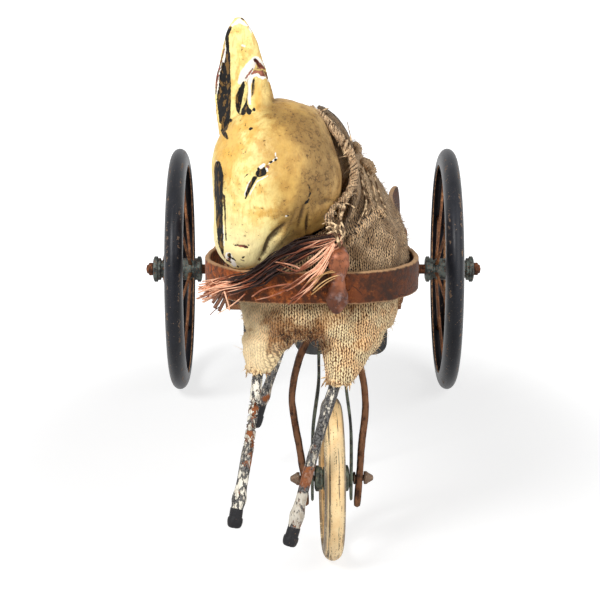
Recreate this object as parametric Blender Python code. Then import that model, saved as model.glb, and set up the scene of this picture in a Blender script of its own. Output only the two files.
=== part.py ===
"""Goat cart pull toy: a knit covered goat on an iron frame, wire wheels, a steered wheel and a tin cart.

Metres, +Z up. The goat faces -Y, the ground is Z = 0 and the origin is under the middle of the toy.
"""
import math

import bmesh
import bpy
from mathutils import Matrix, Vector

MM = 0.001
CLEAR = 0.3 * MM

# Wheels and axles
REAR_WHEEL_RADIUS = 75 * MM
REAR_RIM_WIDTH = 11 * MM
REAR_RIM_DEPTH = 10 * MM
REAR_AXLE_RADIUS = 3 * MM
REAR_AXLE_HALF = 104.5 * MM
REAR_SPOKES = 12
REAR_SPOKE_RADIUS = 0.8 * MM
REAR_SPOKE_SPREAD = 8 * MM
REAR_HUB_HALF = 15.2 * MM
REAR_HUB_SHIFT = 1.7 * MM
REAR_HUB_FLANGE = 8 * MM
REAR_HUB_BARREL = 5.5 * MM
STOP_COLLAR_GAP = 3.5 * MM
STOP_COLLAR_LENGTH = 5 * MM
STOP_COLLAR_RADIUS = 5.2 * MM
AXLE_NUT_RADIUS = 4 * MM
AXLE_NUT_LENGTH = 4.3 * MM
AXLE_END_DEPTH = 1.2 * MM

FRONT_WHEEL_RADIUS = 39 * MM
FRONT_RIM_WIDTH = 9.8 * MM
FRONT_RIM_DEPTH = 7 * MM
FRONT_WHEEL_X = 6.7 * MM
FRONT_AXLE_RADIUS = 1.5 * MM
FRONT_SPOKES = 6
FRONT_SPOKE_RADIUS = 0.9 * MM
FRONT_SPOKE_SPREAD = 2.5 * MM
FRONT_HUB_HALF = 8.2 * MM
FRONT_HUB_FLANGE = 6.2 * MM
FRONT_HUB_BARREL = 4.2 * MM
WHEELBASE = 292 * MM
STEER_REST = math.radians(2)
RIM_WALL = 1.3 * MM
SLEEVE_WALL = 1.1 * MM

# Fork
BLADE_THICKNESS = 1.4 * MM
BLADE_WIDTH = 10 * MM
BLADE_GAP = 8.5 * MM
FORK_TOP_Z = 105 * MM
STRAP_THICKNESS = 3.1 * MM
STRAP_WIDTH = 8 * MM
STRAP_X = 13.1 * MM
STRAP_FOOT = 6 * MM
KING_PIN_RADIUS = 2.5 * MM
KING_PIN_LENGTH = 27 * MM
KING_PIN_HEAD_RADIUS = 4 * MM
KING_PIN_HEAD_HEIGHT = 1.5 * MM
FORK_WASHER_RADIUS = 3 * MM
CONE_NUT_LENGTH = 4.6 * MM
CONE_NUT_RADIUS = 3.1 * MM
STEER_WASHER_RADIUS = 8 * MM
STEER_WASHER_THICKNESS = 1.8 * MM

# Iron frame
BAND_HEIGHT = 14.3 * MM
BAND_THICKNESS = 2.4 * MM
BAND_Z = 144.5 * MM
BAND_GAP = 5.3 * MM
BAND_SHIFT = -3 * MM
BAND_DROP = 13.5 * MM
EYE_GAP = 8.8 * MM
EYE_RADIUS = 8 * MM
BEARER_Y = 92 * MM
BEARER_Z = 101 * MM
BEARER_THICKNESS = 3 * MM
BEARER_WIDTH = 9 * MM
BEARER_BEND = 5 * MM
RIVET_RADIUS = 1.5 * MM
RIVET_HEAD_RADIUS = 3 * MM
RIVET_HEAD_HEIGHT = 1.2 * MM
HOOK_X = 8.6 * MM
HOOK_HALF_WIDTH = 5.6 * MM
HOOK_TOP_Z = 163.5 * MM
HOOK_BOTTOM_Z = 133.7 * MM
HOOK_FRONT = 5.2 * MM
HOOK_BACK = 3 * MM
HOOK_TAIL = 6 * MM

# Goat
TORSO_Z = 118 * MM
TORSO_HEIGHT = 96.5 * MM
CORE_HALF_WIDTH = 12 * MM
CORE_SHIFT = 3 * MM
CORE_TOP_Z = 136 * MM
CORE_FRONT = 18 * MM
CORE_FOOT_HALF = 12 * MM
LEG_RADIUS = 2.5 * MM
HOOF_RADIUS = 3.5 * MM
HOOF_LENGTH = 9 * MM
HOOF_SOCKET = 4 * MM
CUP_RADIUS = 33 * MM
NECK_BALL_RADIUS = 8 * MM
SOCKET_MOUTH_RADIUS = 15 * MM
NECK_DOWEL_RADIUS = 3.5 * MM
NECK_DOWEL_LENGTH = 58 * MM
NOD_RANGE = math.radians(15)
COLLAR_THICKNESS = 2.2 * MM
COLLAR_WIDTH = 12 * MM

# Cart
SHEET = 1.2 * MM
CART_HALF_WIDTH = 36 * MM
APRON_HALF_WIDTH = 39.2 * MM
CART_GAP = 12.5 * MM
CART_REAR = 25 * MM
CART_SIDE_TOP_Z = 108 * MM
APRON_BOTTOM_Z = 61 * MM
APRON_NOTCH_Z = 70 * MM
APRON_SHOULDER_Z = 79 * MM
APRON_TOP_Z = 100 * MM
SEAT_HEIGHT = 15 * MM
SEAT_DEPTH = 28 * MM
CART_BACK_TOP_Z = 124 * MM
BRACKET_X = 29 * MM
BRACKET_WIDTH = 6 * MM
BRACKET_WALL = 3 * MM

# The goat's forms are drawn in mm for a torso 96.5 mm high, and the band for a chest 47.5 mm deep
FORM = TORSO_HEIGHT / 96.5
CHEST_DEPTH = 47.5 * FORM
BAND_REACH = CHEST_DEPTH + BAND_GAP
BAND_FORM = BAND_REACH / 52.8
HEAD_CENTRE = Vector((-15, -28.4, 77)) * FORM
CART_FRONT = WHEELBASE - 129.5 * FORM - CART_GAP

# Places that follow from the sizes above
REAR_WHEEL_X = REAR_AXLE_HALF - AXLE_NUT_LENGTH - CLEAR - REAR_HUB_HALF - REAR_HUB_SHIFT
STOP_COLLAR_X = REAR_WHEEL_X + REAR_HUB_SHIFT - REAR_HUB_HALF - STOP_COLLAR_GAP - STOP_COLLAR_LENGTH
REAR_AXLE_Y = (WHEELBASE + BAND_REACH + BAND_THICKNESS / 2 + CLEAR + HOOK_FRONT - REAR_WHEEL_RADIUS) / 2
FRONT_AXLE_Y = REAR_AXLE_Y - WHEELBASE
EYE_X = STOP_COLLAR_X - EYE_GAP - BAND_THICKNESS / 2
REAR_AXLE_Z = REAR_WHEEL_RADIUS
FRONT_AXLE_Z = FRONT_WHEEL_RADIUS
GOAT = Vector((0, FRONT_AXLE_Y, TORSO_Z))
BAND_FRONT_Y = FRONT_AXLE_Y - BAND_REACH
HEAD_AXIS = Vector((-0.493, -0.31, -0.813)).normalized()
HEAD_WIDE = Vector((0.863, -0.126, -0.482)).normalized()
NECK_AXIS = Vector((-0.45, -0.75, 0.48)).normalized()
NOD_AXIS = HEAD_AXIS.cross(Vector((0, 0, 1))).normalized()
RIGHT_FOOT_Z = FORK_TOP_Z + CLEAR + STRAP_THICKNESS / 2
LEFT_FOOT_Z = RIGHT_FOOT_Z + STRAP_THICKNESS + CLEAR
STEER_WASHER_Z = LEFT_FOOT_Z + STRAP_THICKNESS / 2 + CLEAR
CORE_BOTTOM_Z = STEER_WASHER_Z + STEER_WASHER_THICKNESS + CLEAR
CART_FLOOR_Z = REAR_AXLE_Z + REAR_AXLE_RADIUS + BRACKET_WALL + 2 * CLEAR

MATERIALS = {
    "black_paint": ((0.045, 0.05, 0.06), 0.45, 0.2),
    "rusty_wire": ((0.2, 0.09, 0.045), 0.8, 0.5),
    "hub_metal": ((0.1, 0.12, 0.12), 0.5, 0.8),
    "rusty_iron": ((0.13, 0.05, 0.025), 0.75, 0.5),
    "dark_iron": ((0.06, 0.065, 0.06), 0.6, 0.7),
    "cream_paint": ((0.75, 0.55, 0.3), 0.5, 0.0),
    "steel": ((0.3, 0.28, 0.25), 0.5, 0.9),
    "wood": ((0.3, 0.18, 0.09), 0.8, 0.0),
    "knit": ((0.35, 0.25, 0.16), 0.95, 0.0),
    "leg_paint": ((0.6, 0.6, 0.58), 0.5, 0.1),
    "hoof_paint": ((0.02, 0.02, 0.026), 0.4, 0.0),
    "head_paint": ((0.8, 0.55, 0.2), 0.4, 0.0),
    "raffia": ((0.3, 0.1, 0.05), 0.8, 0.0),
    "cart_tin": ((0.05, 0.055, 0.06), 0.5, 0.3),
}


def material(name):
    """One Principled material for each finish."""
    found = bpy.data.materials.get(name)
    if found:
        return found
    colour, roughness, metallic = MATERIALS[name]
    made = bpy.data.materials.new(name)
    made.use_nodes = True
    shader = made.node_tree.nodes["Principled BSDF"]
    shader.inputs["Base Color"].default_value = (*colour, 1)
    shader.inputs["Roughness"].default_value = roughness
    shader.inputs["Metallic"].default_value = metallic
    made.diffuse_color = (*colour, 1)
    return made


def solid(name, mesh_edit, finish=None):
    """A named object from a bmesh, with its faces pointing out."""
    bmesh.ops.remove_doubles(mesh_edit, verts=mesh_edit.verts, dist=1e-6)
    bmesh.ops.recalc_face_normals(mesh_edit, faces=mesh_edit.faces)
    mesh = bpy.data.meshes.new(name)
    mesh_edit.to_mesh(mesh)
    mesh_edit.free()
    made = bpy.data.objects.new(name, mesh)
    bpy.context.scene.collection.objects.link(made)
    if finish:
        mesh.materials.append(material(finish))
        mesh.shade_smooth()
        mesh.set_sharp_from_angle(angle=math.radians(35))
    return made


def combine(body, tool, operation="DIFFERENCE"):
    """Cuts, joins or intersects a body with a tool, and uses the tool up."""
    modifier = body.modifiers.new("boolean", "BOOLEAN")
    modifier.operation = operation
    modifier.solver = "EXACT"
    modifier.object = tool
    bpy.context.view_layer.update()
    result = bpy.data.meshes.new_from_object(body.evaluated_get(bpy.context.evaluated_depsgraph_get()))
    body.modifiers.clear()
    body.data = result
    bpy.data.objects.remove(tool)
    return body


def copy_of(body, matrix=None):
    """A working copy of a body, moved by a matrix."""
    made = bpy.data.objects.new(body.name + "_tool", body.data.copy())
    if matrix:
        made.data.transform(matrix)
    bpy.context.scene.collection.objects.link(made)
    return made


def grown(body, centre, factor):
    """A copy of a body scaled about a point, to cut room for it."""
    return copy_of(body, Matrix.Translation(centre) @ Matrix.Scale(factor, 4) @ Matrix.Translation(-centre))


def box(name, low, high, finish=None):
    """A block between two corners."""
    edit = bmesh.new()
    bmesh.ops.create_cube(edit, size=1)
    low, high = Vector(low), Vector(high)
    size = high - low
    bmesh.ops.transform(edit, verts=edit.verts, matrix=Matrix.Diagonal((*size, 1)))
    bmesh.ops.translate(edit, verts=edit.verts, vec=(low + high) / 2)
    return solid(name, edit, finish)


def turned(name, profile, steps, place, axis, finish=None):
    """A profile of (along, radius) points turned about an axis through a place."""
    edit = bmesh.new()
    points = [edit.verts.new((along, radius, 0)) for along, radius in profile]
    closed = profile[0][1] > 0 or profile[-1][1] > 0
    for first, second in zip(points, points[1:]):
        edit.edges.new((first, second))
    if closed:
        edit.edges.new((points[-1], points[0]))
    geometry = list(edit.verts) + list(edit.edges)
    bmesh.ops.rotate(edit, verts=edit.verts, matrix=Matrix.Rotation(math.pi / steps, 3, "X"))
    bmesh.ops.spin(edit, geom=geometry, axis=(1, 0, 0), angle=2 * math.pi, steps=steps, use_merge=True)
    turn = Vector((1, 0, 0)).rotation_difference(Vector(axis)).to_matrix().to_4x4()
    bmesh.ops.transform(edit, verts=edit.verts, matrix=Matrix.Translation(place) @ turn)
    return solid(name, edit, finish)


def rod(name, start, end, radius, finish=None, steps=12, end_radius=None):
    """A round bar, or a cone, from one point to another."""
    start, end = Vector(start), Vector(end)
    length = (end - start).length
    tip = radius if end_radius is None else end_radius
    return turned(name, [(0, 0), (0, radius), (length, tip), (length, 0)], steps, start, end - start, finish)


def ball(name, centre, radius, finish=None, steps=24):
    """A sphere."""
    edit = bmesh.new()
    bmesh.ops.create_uvsphere(edit, u_segments=steps, v_segments=steps // 2, radius=radius)
    bmesh.ops.translate(edit, verts=edit.verts, vec=centre)
    return solid(name, edit, finish)


def loft(name, rings, finish=None):
    """A skin over rings that have the same number of points, closed at both ends."""
    edit = bmesh.new()
    rows = [[edit.verts.new(point) for point in ring] for ring in rings]
    count = len(rows[0])
    for near, far in zip(rows, rows[1:]):
        for index in range(count):
            after = (index + 1) % count
            edit.faces.new((near[index], near[after], far[after], far[index]))
    edit.faces.new(rows[0])
    edit.faces.new(rows[-1])
    return solid(name, edit, finish)


def oval(centre, across, along, count=20, half=(1, 1), roundness=1):
    """Points round an oval: its two halves across may differ, and less roundness makes it squarer."""
    points = []
    for index in range(count):
        angle = 2 * math.pi * index / count
        side = half[0] if math.cos(angle) > 0 else half[1]
        x = math.copysign(abs(math.cos(angle)) ** roundness, math.cos(angle)) * side
        y = math.copysign(abs(math.sin(angle)) ** roundness, math.sin(angle))
        points.append(centre + across * x + along * y)
    return points


def curve_through(points, steps):
    """A smooth line through points, with the same number of steps in each span."""
    points = [Vector(point) for point in points]
    padded = [2 * points[0] - points[1]] + points + [2 * points[-1] - points[-2]]
    line = []
    for index in range(1, len(padded) - 2):
        before, start, end, after = padded[index - 1:index + 3]
        for step in range(steps):
            t = step / steps
            bend = 2 * before - 5 * start + 4 * end - after
            twist = 3 * start - before - 3 * end + after
            line.append((2 * start + (end - before) * t + bend * t * t + twist * t ** 3) / 2)
    return line + [points[-1]]


def strap(name, line, thickness, width, face_of, finish=None):
    """A flat bar along a line; face_of gives the direction of its thickness from the line's direction."""
    rings = []
    for index, point in enumerate(line):
        ahead = line[min(index + 1, len(line) - 1)] - line[max(index - 1, 0)]
        ahead.normalize()
        face = face_of(ahead).normalized() * thickness / 2
        edge = ahead.cross(face).normalized() * width / 2
        rings.append([point + face + edge, point - face + edge, point - face - edge, point + face - edge])
    return loft(name, rings, finish)


def level_face(ahead):
    """Thickness lies level, so the bar stands on its edge."""
    return Vector((ahead.y, -ahead.x, 0))


def upright_face(ahead):
    """Thickness lies in the X-Z plane, so the bar's width runs fore and aft."""
    return Vector((ahead.z, 0, -ahead.x))


def channel_floor(radius, depth):
    """Radius of the inside of a rim's channel, where the wires end."""
    return radius - RIM_WALL - depth * 0.06


def rim(name, radius, width, depth, steps, place, axis, finish):
    """A rolled channel rim: a rounded tread with a flat middle, open towards the hub."""
    half = width / 2
    inner = radius - depth
    turns = [math.radians(degrees) for degrees in (90, 72, 50, 26, 12)]
    outside = [(half * math.sin(turn), inner + depth * math.cos(turn)) for turn in turns]
    outside[-1] = (outside[-1][0], radius)
    outside[-2] = (outside[-2][0], radius - depth * 0.07)
    left = [(-x, r) for x, r in reversed(outside)]
    lip = half - RIM_WALL
    groove = [(-lip, inner), (-lip * 0.92, inner + depth * 0.5), (-lip * 0.55, channel_floor(radius, depth))]
    groove += [(-x, r) for x, r in reversed(groove)]
    # The tread's flats touch the ground at the radius itself
    swell = 1 / math.cos(math.pi / steps)
    profile = [(x, r * swell) for x, r in outside + left] + groove
    return turned(name, profile, steps, place, axis, finish)


def spokes(name, count, wire, sleeve, length, reach, spread, place, axis, shift, finish):
    """Wires from the two ends of a sleeve to the middle of the rim, as one brazed set."""
    outer = sleeve + SLEEVE_WALL
    half = length / 2
    tube = [(-half, sleeve), (-half, outer), (half, outer), (half, sleeve)]
    body = turned(name, tube, 16, (0, 0, 0), (1, 0, 0), finish)
    for index in range(count):
        angle = 2 * math.pi * (index + 0.5) / count
        out = Vector((0, math.cos(angle), math.sin(angle)))
        side = spread if index % 2 else -spread
        start = out * (sleeve + SLEEVE_WALL * 0.4) + Vector((side, 0, 0))
        combine(body, rod("wire", start, out * reach - Vector((shift, 0, 0)), wire, steps=6), "UNION")
    turn = Vector((1, 0, 0)).rotation_difference(Vector(axis)).to_matrix().to_4x4()
    body.data.transform(Matrix.Translation(place) @ turn)
    return body


def hub(name, half, flange, barrel, bore, steps, place, axis, finish):
    """A turned spool with a stepped flange at each end."""
    lip = flange * 0.35
    step = flange * 0.86
    side = [(half, flange * 0.75), (half - lip * 0.25, flange), (half - lip, flange), (half - lip, step)]
    side += [(half - lip * 1.7, step), (half - lip * 1.7, barrel)]
    profile = side + [(-x, r) for x, r in reversed(side)]
    profile += [(-half, bore), (half, bore)]
    return turned(name, profile, steps, place, axis, finish)


def rear_wheel(side, sign):
    """Rim, spokes and hub of one rear wheel, with its axle nut and stop collar."""
    centre = Vector((sign * REAR_WHEEL_X, REAR_AXLE_Y, REAR_AXLE_Z))
    axis = (sign, 0, 0)
    outward = Vector(axis)
    pivot = bpy.data.objects.new(side + "_wheel_pivot", None)
    pivot.location = centre
    bpy.context.scene.collection.objects.link(pivot)
    hub_centre = centre + outward * REAR_HUB_SHIFT
    bore = REAR_AXLE_RADIUS + CLEAR
    wires = channel_floor(REAR_WHEEL_RADIUS, REAR_RIM_DEPTH) - CLEAR
    sleeve_length = 2 * (REAR_HUB_HALF - REAR_HUB_FLANGE * 0.6 - CLEAR)
    pieces = [
        rim("rear_" + side + "_rim", REAR_WHEEL_RADIUS, REAR_RIM_WIDTH, REAR_RIM_DEPTH, 40,
            centre, axis, "black_paint"),
        spokes("rear_" + side + "_spokes", REAR_SPOKES, REAR_SPOKE_RADIUS, REAR_HUB_BARREL + CLEAR,
               sleeve_length, wires, REAR_SPOKE_SPREAD, hub_centre, axis, REAR_HUB_SHIFT, "rusty_wire"),
        hub("rear_" + side + "_hub", REAR_HUB_HALF, REAR_HUB_FLANGE, REAR_HUB_BARREL, bore, 20,
            hub_centre, axis, "hub_metal"),
    ]
    for piece in pieces:
        hold(piece, pivot)
    nut_start = hub_centre + outward * (REAR_HUB_HALF + CLEAR)
    nut = [(0, bore), (0, AXLE_NUT_RADIUS), (AXLE_NUT_LENGTH * 0.6, AXLE_NUT_RADIUS)]
    nut += [(AXLE_NUT_LENGTH, AXLE_NUT_RADIUS * 0.55), (AXLE_NUT_LENGTH, 0)]
    nut += [(AXLE_NUT_LENGTH - AXLE_END_DEPTH, 0), (AXLE_NUT_LENGTH - AXLE_END_DEPTH, bore)]
    axle_nut(side + "_axle_nut", nut, nut_start, axis)
    start = Vector((sign * STOP_COLLAR_X, REAR_AXLE_Y, REAR_AXLE_Z))
    collar = [(0, bore), (0, STOP_COLLAR_RADIUS)]
    collar += [(STOP_COLLAR_LENGTH, STOP_COLLAR_RADIUS), (STOP_COLLAR_LENGTH, bore)]
    turned(side + "_axle_collar", collar, 16, start, axis, "rusty_iron")


def axle_nut(name, outline, place, axis):
    """A domed nut, closed over the axle's end."""
    edit = bmesh.new()
    points = [edit.verts.new((along, radius, 0)) for along, radius in outline]
    for first, second in zip(points, points[1:]):
        if first.co.y or second.co.y:
            edit.edges.new((first, second))
    edit.edges.new((points[-1], points[0]))
    geometry = list(edit.verts) + list(edit.edges)
    bmesh.ops.spin(edit, geom=geometry, axis=(1, 0, 0), angle=2 * math.pi, steps=16, use_merge=True)
    turn = Vector((1, 0, 0)).rotation_difference(Vector(axis)).to_matrix().to_4x4()
    bmesh.ops.transform(edit, verts=edit.verts, matrix=Matrix.Translation(place) @ turn)
    return solid(name, edit, "rusty_iron")


def hold(piece, pivot):
    """Parents a piece to its pivot without moving it."""
    bpy.context.view_layer.update()
    piece.parent = pivot
    piece.matrix_parent_inverse = pivot.matrix_world.inverted()


def rear_axle():
    """The plain bar that both rear wheels, the frame's eyes and the cart hang on."""
    centre = Vector((0, REAR_AXLE_Y, REAR_AXLE_Z))
    reach = Vector((REAR_AXLE_HALF - AXLE_END_DEPTH - CLEAR, 0, 0))
    rod("rear_axle", centre - reach, centre + reach, REAR_AXLE_RADIUS, "rusty_iron", 16)


def band_line():
    """The iron band's middle line, from the left eye round the goat's chest to the right eye."""
    half = [(0, 0), (18, 0.9), (31, 6), (39.5, 15), (45.5, 27), (47.4, 40), (46.4, 53), (44.4, 66)]
    half += [(43, 95), (42, 145)]
    front = [Vector((x * BAND_FORM, BAND_FRONT_Y + y * BAND_FORM, BAND_Z)) for x, y in half]
    for point in front:
        point.z -= BAND_DROP * (point.y - BAND_FRONT_Y) / (REAR_AXLE_Y - BAND_FRONT_Y)
    # Each row: share of the eye's X, share of the way forward to the cart's front, height
    rise = BAND_Z - REAR_AXLE_Z
    bends = [(0.816, 1, BAND_Z - BAND_DROP * 0.68), (0.843, 0.633, BAND_Z - BAND_DROP * 0.85)]
    bends += [(0.931, 0.413, BAND_Z - BAND_DROP), (0.988, 0.233, REAR_AXLE_Z + rise * 0.547)]
    bends += [(1, 0.107, REAR_AXLE_Z + rise * 0.23), (1, 0.007, REAR_AXLE_Z + rise * 0.014)]
    arm = [Vector((EYE_X * x, REAR_AXLE_Y - CART_FRONT * ahead, z)) for x, ahead, z in bends]
    right = front + arm
    left = [Vector((-point.x, point.y, point.z)) for point in reversed(right)]
    points = left[:-1] + right
    for point in points:
        fade = min(1, max(0, (REAR_AXLE_Y - CART_FRONT - point.y) / (100 * MM)))
        point.x += BAND_SHIFT * fade
    return curve_through(points, 3)


def band_height_at(distance):
    """Middle height of the band's arm at a distance forward of the rear axle."""
    line = [point for point in band_line() if point.x > 0]
    nearest = min(line, key=lambda point: abs(REAR_AXLE_Y - distance - point.y))
    return nearest.z


def band_side_at(y, sign):
    """X of the band's middle line beside a place, on one side."""
    line = [point for point in band_line() if point.x * sign > 0]
    return min(line, key=lambda point: abs(y - point.y)).x


def frame_band():
    """Hand bent flat iron: a bow round the chest, two arms, and an eye on the axle at each end."""
    body = strap("frame_band", band_line(), BAND_THICKNESS, BAND_HEIGHT, level_face, "rusty_iron")
    for sign in (-1, 1):
        centre = Vector((sign * EYE_X, REAR_AXLE_Y, REAR_AXLE_Z))
        half = Vector((BAND_THICKNESS / 2, 0, 0))
        combine(body, rod("eye", centre - half, centre + half, EYE_RADIUS, steps=24), "UNION")
        combine(body, rod("hole", centre - half * 3, centre + half * 3, REAR_AXLE_RADIUS + CLEAR, steps=16))
    return body


def bearer():
    """A flat strap outside the arms that passes under the goat and carries its wooden core."""
    y = FRONT_AXLE_Y + BEARER_Y
    rivet_z = band_height_at(WHEELBASE - BEARER_Y)
    top = rivet_z + BAND_HEIGHT * 0.4
    out = BAND_THICKNESS / 2 + CLEAR + BEARER_THICKNESS / 2
    left = band_side_at(y, -1) - out
    right = band_side_at(y, 1) + out
    bend = BEARER_BEND
    points = [Vector((left, y, top)), Vector((left, y, BEARER_Z + bend))]
    points += [Vector((left + bend * 0.3, y, BEARER_Z + bend * 0.3)), Vector((left + bend, y, BEARER_Z))]
    points += [Vector((right - bend, y, BEARER_Z)), Vector((right - bend * 0.3, y, BEARER_Z + bend * 0.3))]
    points += [Vector((right, y, BEARER_Z + bend)), Vector((right, y, top))]
    body = strap("bearer_strap", points, BEARER_THICKNESS, BEARER_WIDTH, upright_face, "rusty_iron")
    for side, sign, leg in (("left", -1, left), ("right", 1, right)):
        arm = band_side_at(y, sign)
        start = Vector((arm - sign * (BAND_THICKNESS / 2 + CLEAR), y, rivet_z))
        end = Vector((leg + sign * (BEARER_THICKNESS / 2 + CLEAR), y, rivet_z))
        for carried in (body, bpy.data.objects["frame_band"]):
            combine(carried, rod("hole", start, end, RIVET_RADIUS + CLEAR, steps=12))
        span = (end - start).length
        high, wide = RIVET_HEAD_HEIGHT, RIVET_HEAD_RADIUS
        profile = [(-high, 0), (-high, wide * 0.6), (0, wide), (0, RIVET_RADIUS), (span, RIVET_RADIUS)]
        profile += [(span, wide), (span + high, wide * 0.6), (span + high, 0)]
        turned(side + "_bearer_rivet", profile, 12, start, end - start, "rusty_iron")
    return body


def tow_hook():
    """A forged bar with two rounded lobes, bent over the band's top edge."""
    face = BAND_FRONT_Y - BAND_THICKNESS / 2 - CLEAR
    behind = BAND_FRONT_Y + BAND_THICKNESS / 2 + CLEAR + 0.9 * MM
    band_top = BAND_Z + BAND_HEIGHT / 2
    half = HOOK_HALF_WIDTH
    side = [(face - HOOK_FRONT * 0.75, HOOK_BOTTOM_Z), (face, HOOK_BOTTOM_Z), (face, band_top + CLEAR)]
    side += [(behind, band_top + CLEAR), (behind, band_top - HOOK_TAIL)]
    side += [(behind + HOOK_BACK * 0.8, band_top - HOOK_TAIL), (behind + HOOK_BACK, band_top + HOOK_TAIL / 2)]
    side += [(behind - 1 * MM, HOOK_TOP_Z - 1.5 * MM), (face - 1 * MM, HOOK_TOP_Z)]
    side += [(face - HOOK_FRONT * 0.7, HOOK_TOP_Z - 4 * MM), (face - HOOK_FRONT * 0.8, band_top)]
    side += [(face - HOOK_FRONT, HOOK_BOTTOM_Z + 9 * MM)]
    rings = [[Vector((HOOK_X + x, y, z)) for y, z in side] for x in (-half * 1.2, half * 1.2)]
    body = loft("tow_hook", rings, "rusty_iron")
    middle = (HOOK_TOP_Z + HOOK_BOTTOM_Z) / 2
    tall = (HOOK_TOP_Z - HOOK_BOTTOM_Z) / 2
    outline = []
    for index in range(32):
        angle = 2 * math.pi * index / 32
        up = math.sin(angle)
        waist = 1 - 0.24 * math.exp(-((up - 0.05) / 0.28) ** 2)
        broad = half * (1 - 0.1 * up) * waist * min(1, 1.25 * abs(math.cos(angle)) ** 0.6)
        outline.append((math.copysign(broad, math.cos(angle)), middle + tall * up))
    rings = [[Vector((HOOK_X + x, BAND_FRONT_Y + y, z)) for x, z in outline] for y in (-20 * MM, 20 * MM)]
    return combine(body, loft("outline", rings), "INTERSECT")


def core():
    """The wooden block inside the goat: it takes the king pin and stands on the bearer."""
    low, high = CORE_SHIFT - CORE_HALF_WIDTH, CORE_SHIFT + CORE_HALF_WIDTH
    front = FRONT_AXLE_Y - CORE_FRONT
    back = FRONT_AXLE_Y + BEARER_Y + CORE_FOOT_HALF
    body = box("body_core", (low, front, CORE_BOTTOM_Z), (high, back, CORE_TOP_Z), "wood")
    foot_front = FRONT_AXLE_Y + BEARER_Y - CORE_FOOT_HALF
    foot_z = BEARER_Z + BEARER_THICKNESS / 2 + CLEAR
    foot = box("foot", (low, foot_front, foot_z), (high, back, (CORE_BOTTOM_Z + CORE_TOP_Z) / 2))
    combine(body, foot, "UNION")
    pin = Vector((FRONT_WHEEL_X, FRONT_AXLE_Y, 0))
    top = Vector((0, 0, FORK_TOP_Z + KING_PIN_LENGTH + 1 * MM))
    combine(body, rod("bore", pin, pin + top, KING_PIN_RADIUS + CLEAR))
    below = TORSO_Z - CORE_TOP_Z
    pocket_low = (low - CLEAR, front - CLEAR, CORE_BOTTOM_Z + below)
    return box("pocket", pocket_low, (high + CLEAR, back + CLEAR, CORE_TOP_Z + CLEAR))


def chest_form():
    """The stuffed chest and shoulders, rising to the collar, joined to the long barrel behind."""
    # Each row: height, middle, half width, front, back, roundness
    levels = [(0, 0, 30, -41, 34, 0.6), (2.5, 0, 34, -46, 41, 0.6), (10, 0, 36, -47.5, 46, 0.66)]
    levels += [(20, 0, 38.5, -47, 50, 0.8), (32, 0, 41, -46, 52, 0.85), (42, 0, 40.5, -43.5, 50, 0.9)]
    levels += [(50, -1, 37.5, -40, 47, 1), (59, -2, 33, -36, 43, 1), (72, -3.5, 26.5, -30, 36, 1)]
    levels += [(84, -5, 20.5, -24, 28, 1), (92, -6, 14.5, -19, 20, 1), (96.5, -7, 8, -14, 12, 1)]
    rings = []
    for z, x, wide, front, back, roundness in levels:
        centre = GOAT + Vector((x, (front + back) / 2, z)) * FORM
        across = Vector((wide * FORM, 0, 0))
        deep = Vector((0, (back - front) / 2 * FORM, 0))
        rings.append(oval(centre, across, deep, 28, roundness=roundness))
    chest = loft("torso", rings, "knit")
    # Each row: distance back, half width, half height
    stations = [(129.5, 9, 8), (127, 19, 17), (120, 28, 24), (108, 33, 28.5), (85, 36, 30.5)]
    stations += [(50, 37.5, 31), (15, 37, 30.6), (-5, 34, 28)]
    rings = []
    for y, wide, tall in stations:
        centre = GOAT + Vector((0, y, 31)) * FORM
        rings.append(oval(centre, Vector((wide * FORM, 0, 0)), Vector((0, 0, tall * FORM)), 24))
    return combine(chest, loft("barrel", rings), "UNION")


# Each leg: top, bottom, hoof length over the usual one
LEGS = {
    "left_front": (Vector((-24.8, -34.5, 5.5)), Vector((-38, -53, -84)), 1.0),
    "right_front": (Vector((16.1, -34.5, 5.5)), Vector((-13.5, -53, -92.7)), 1.0),
    "left_hind": (Vector((-4, 114, 6)), Vector((-33, 114, -89.5)), 1.5),
    "right_hind": (Vector((16, 114, 6)), Vector((6, 114, -94)), 1.5),
}
# Each sleeve: rows of X, Y, Z, half width, half depth
SLEEVES = {
    "left": ((-18, -30.5, 6, 8, 6), (-20.2, -34.4, 0.5, 13.2, 10.4), (-23.4, -36.4, -4, 10.1, 9.2),
             (-25.4, -38.2, -9, 7.4, 7.2), (-26.8, -39.8, -14.3, 5.4, 5.4)),
    "right": ((13.5, -30.5, 6, 10, 6), (14.3, -33.8, 0.5, 14.6, 11), (12.2, -36.2, -8, 11, 9.4),
              (10.4, -38.4, -14.5, 8.2, 7.4), (8.6, -40.2, -20, 5.8, 5.4)),
}


def leg_bore(name):
    """The hole that a leg's upper end sits in."""
    top, bottom, _ = LEGS[name]
    top, bottom = GOAT + top * FORM, GOAT + bottom * FORM
    return rod("bore", bottom, top + (top - bottom).normalized() * CLEAR, LEG_RADIUS + CLEAR)


def leg(name):
    """A slim leg and the painted hoof or boot pushed on its lower end."""
    top, bottom, boot = LEGS[name]
    top, bottom = GOAT + top * FORM, GOAT + bottom * FORM
    along = (top - bottom).normalized()
    length = HOOF_LENGTH * boot
    rod(name + "_leg", bottom + along * (length - HOOF_SOCKET), top, LEG_RADIUS, "leg_paint")
    wall = LEG_RADIUS + CLEAR
    floor = length - HOOF_SOCKET - CLEAR
    profile = [(0, 0), (0, HOOF_RADIUS * 0.92), (length * 0.35, HOOF_RADIUS), (length, HOOF_RADIUS * 0.94)]
    profile += [(length, wall), (floor, wall), (floor, 0)]
    turned(name + "_hoof", profile, 14, bottom, along, "hoof_paint")


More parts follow.
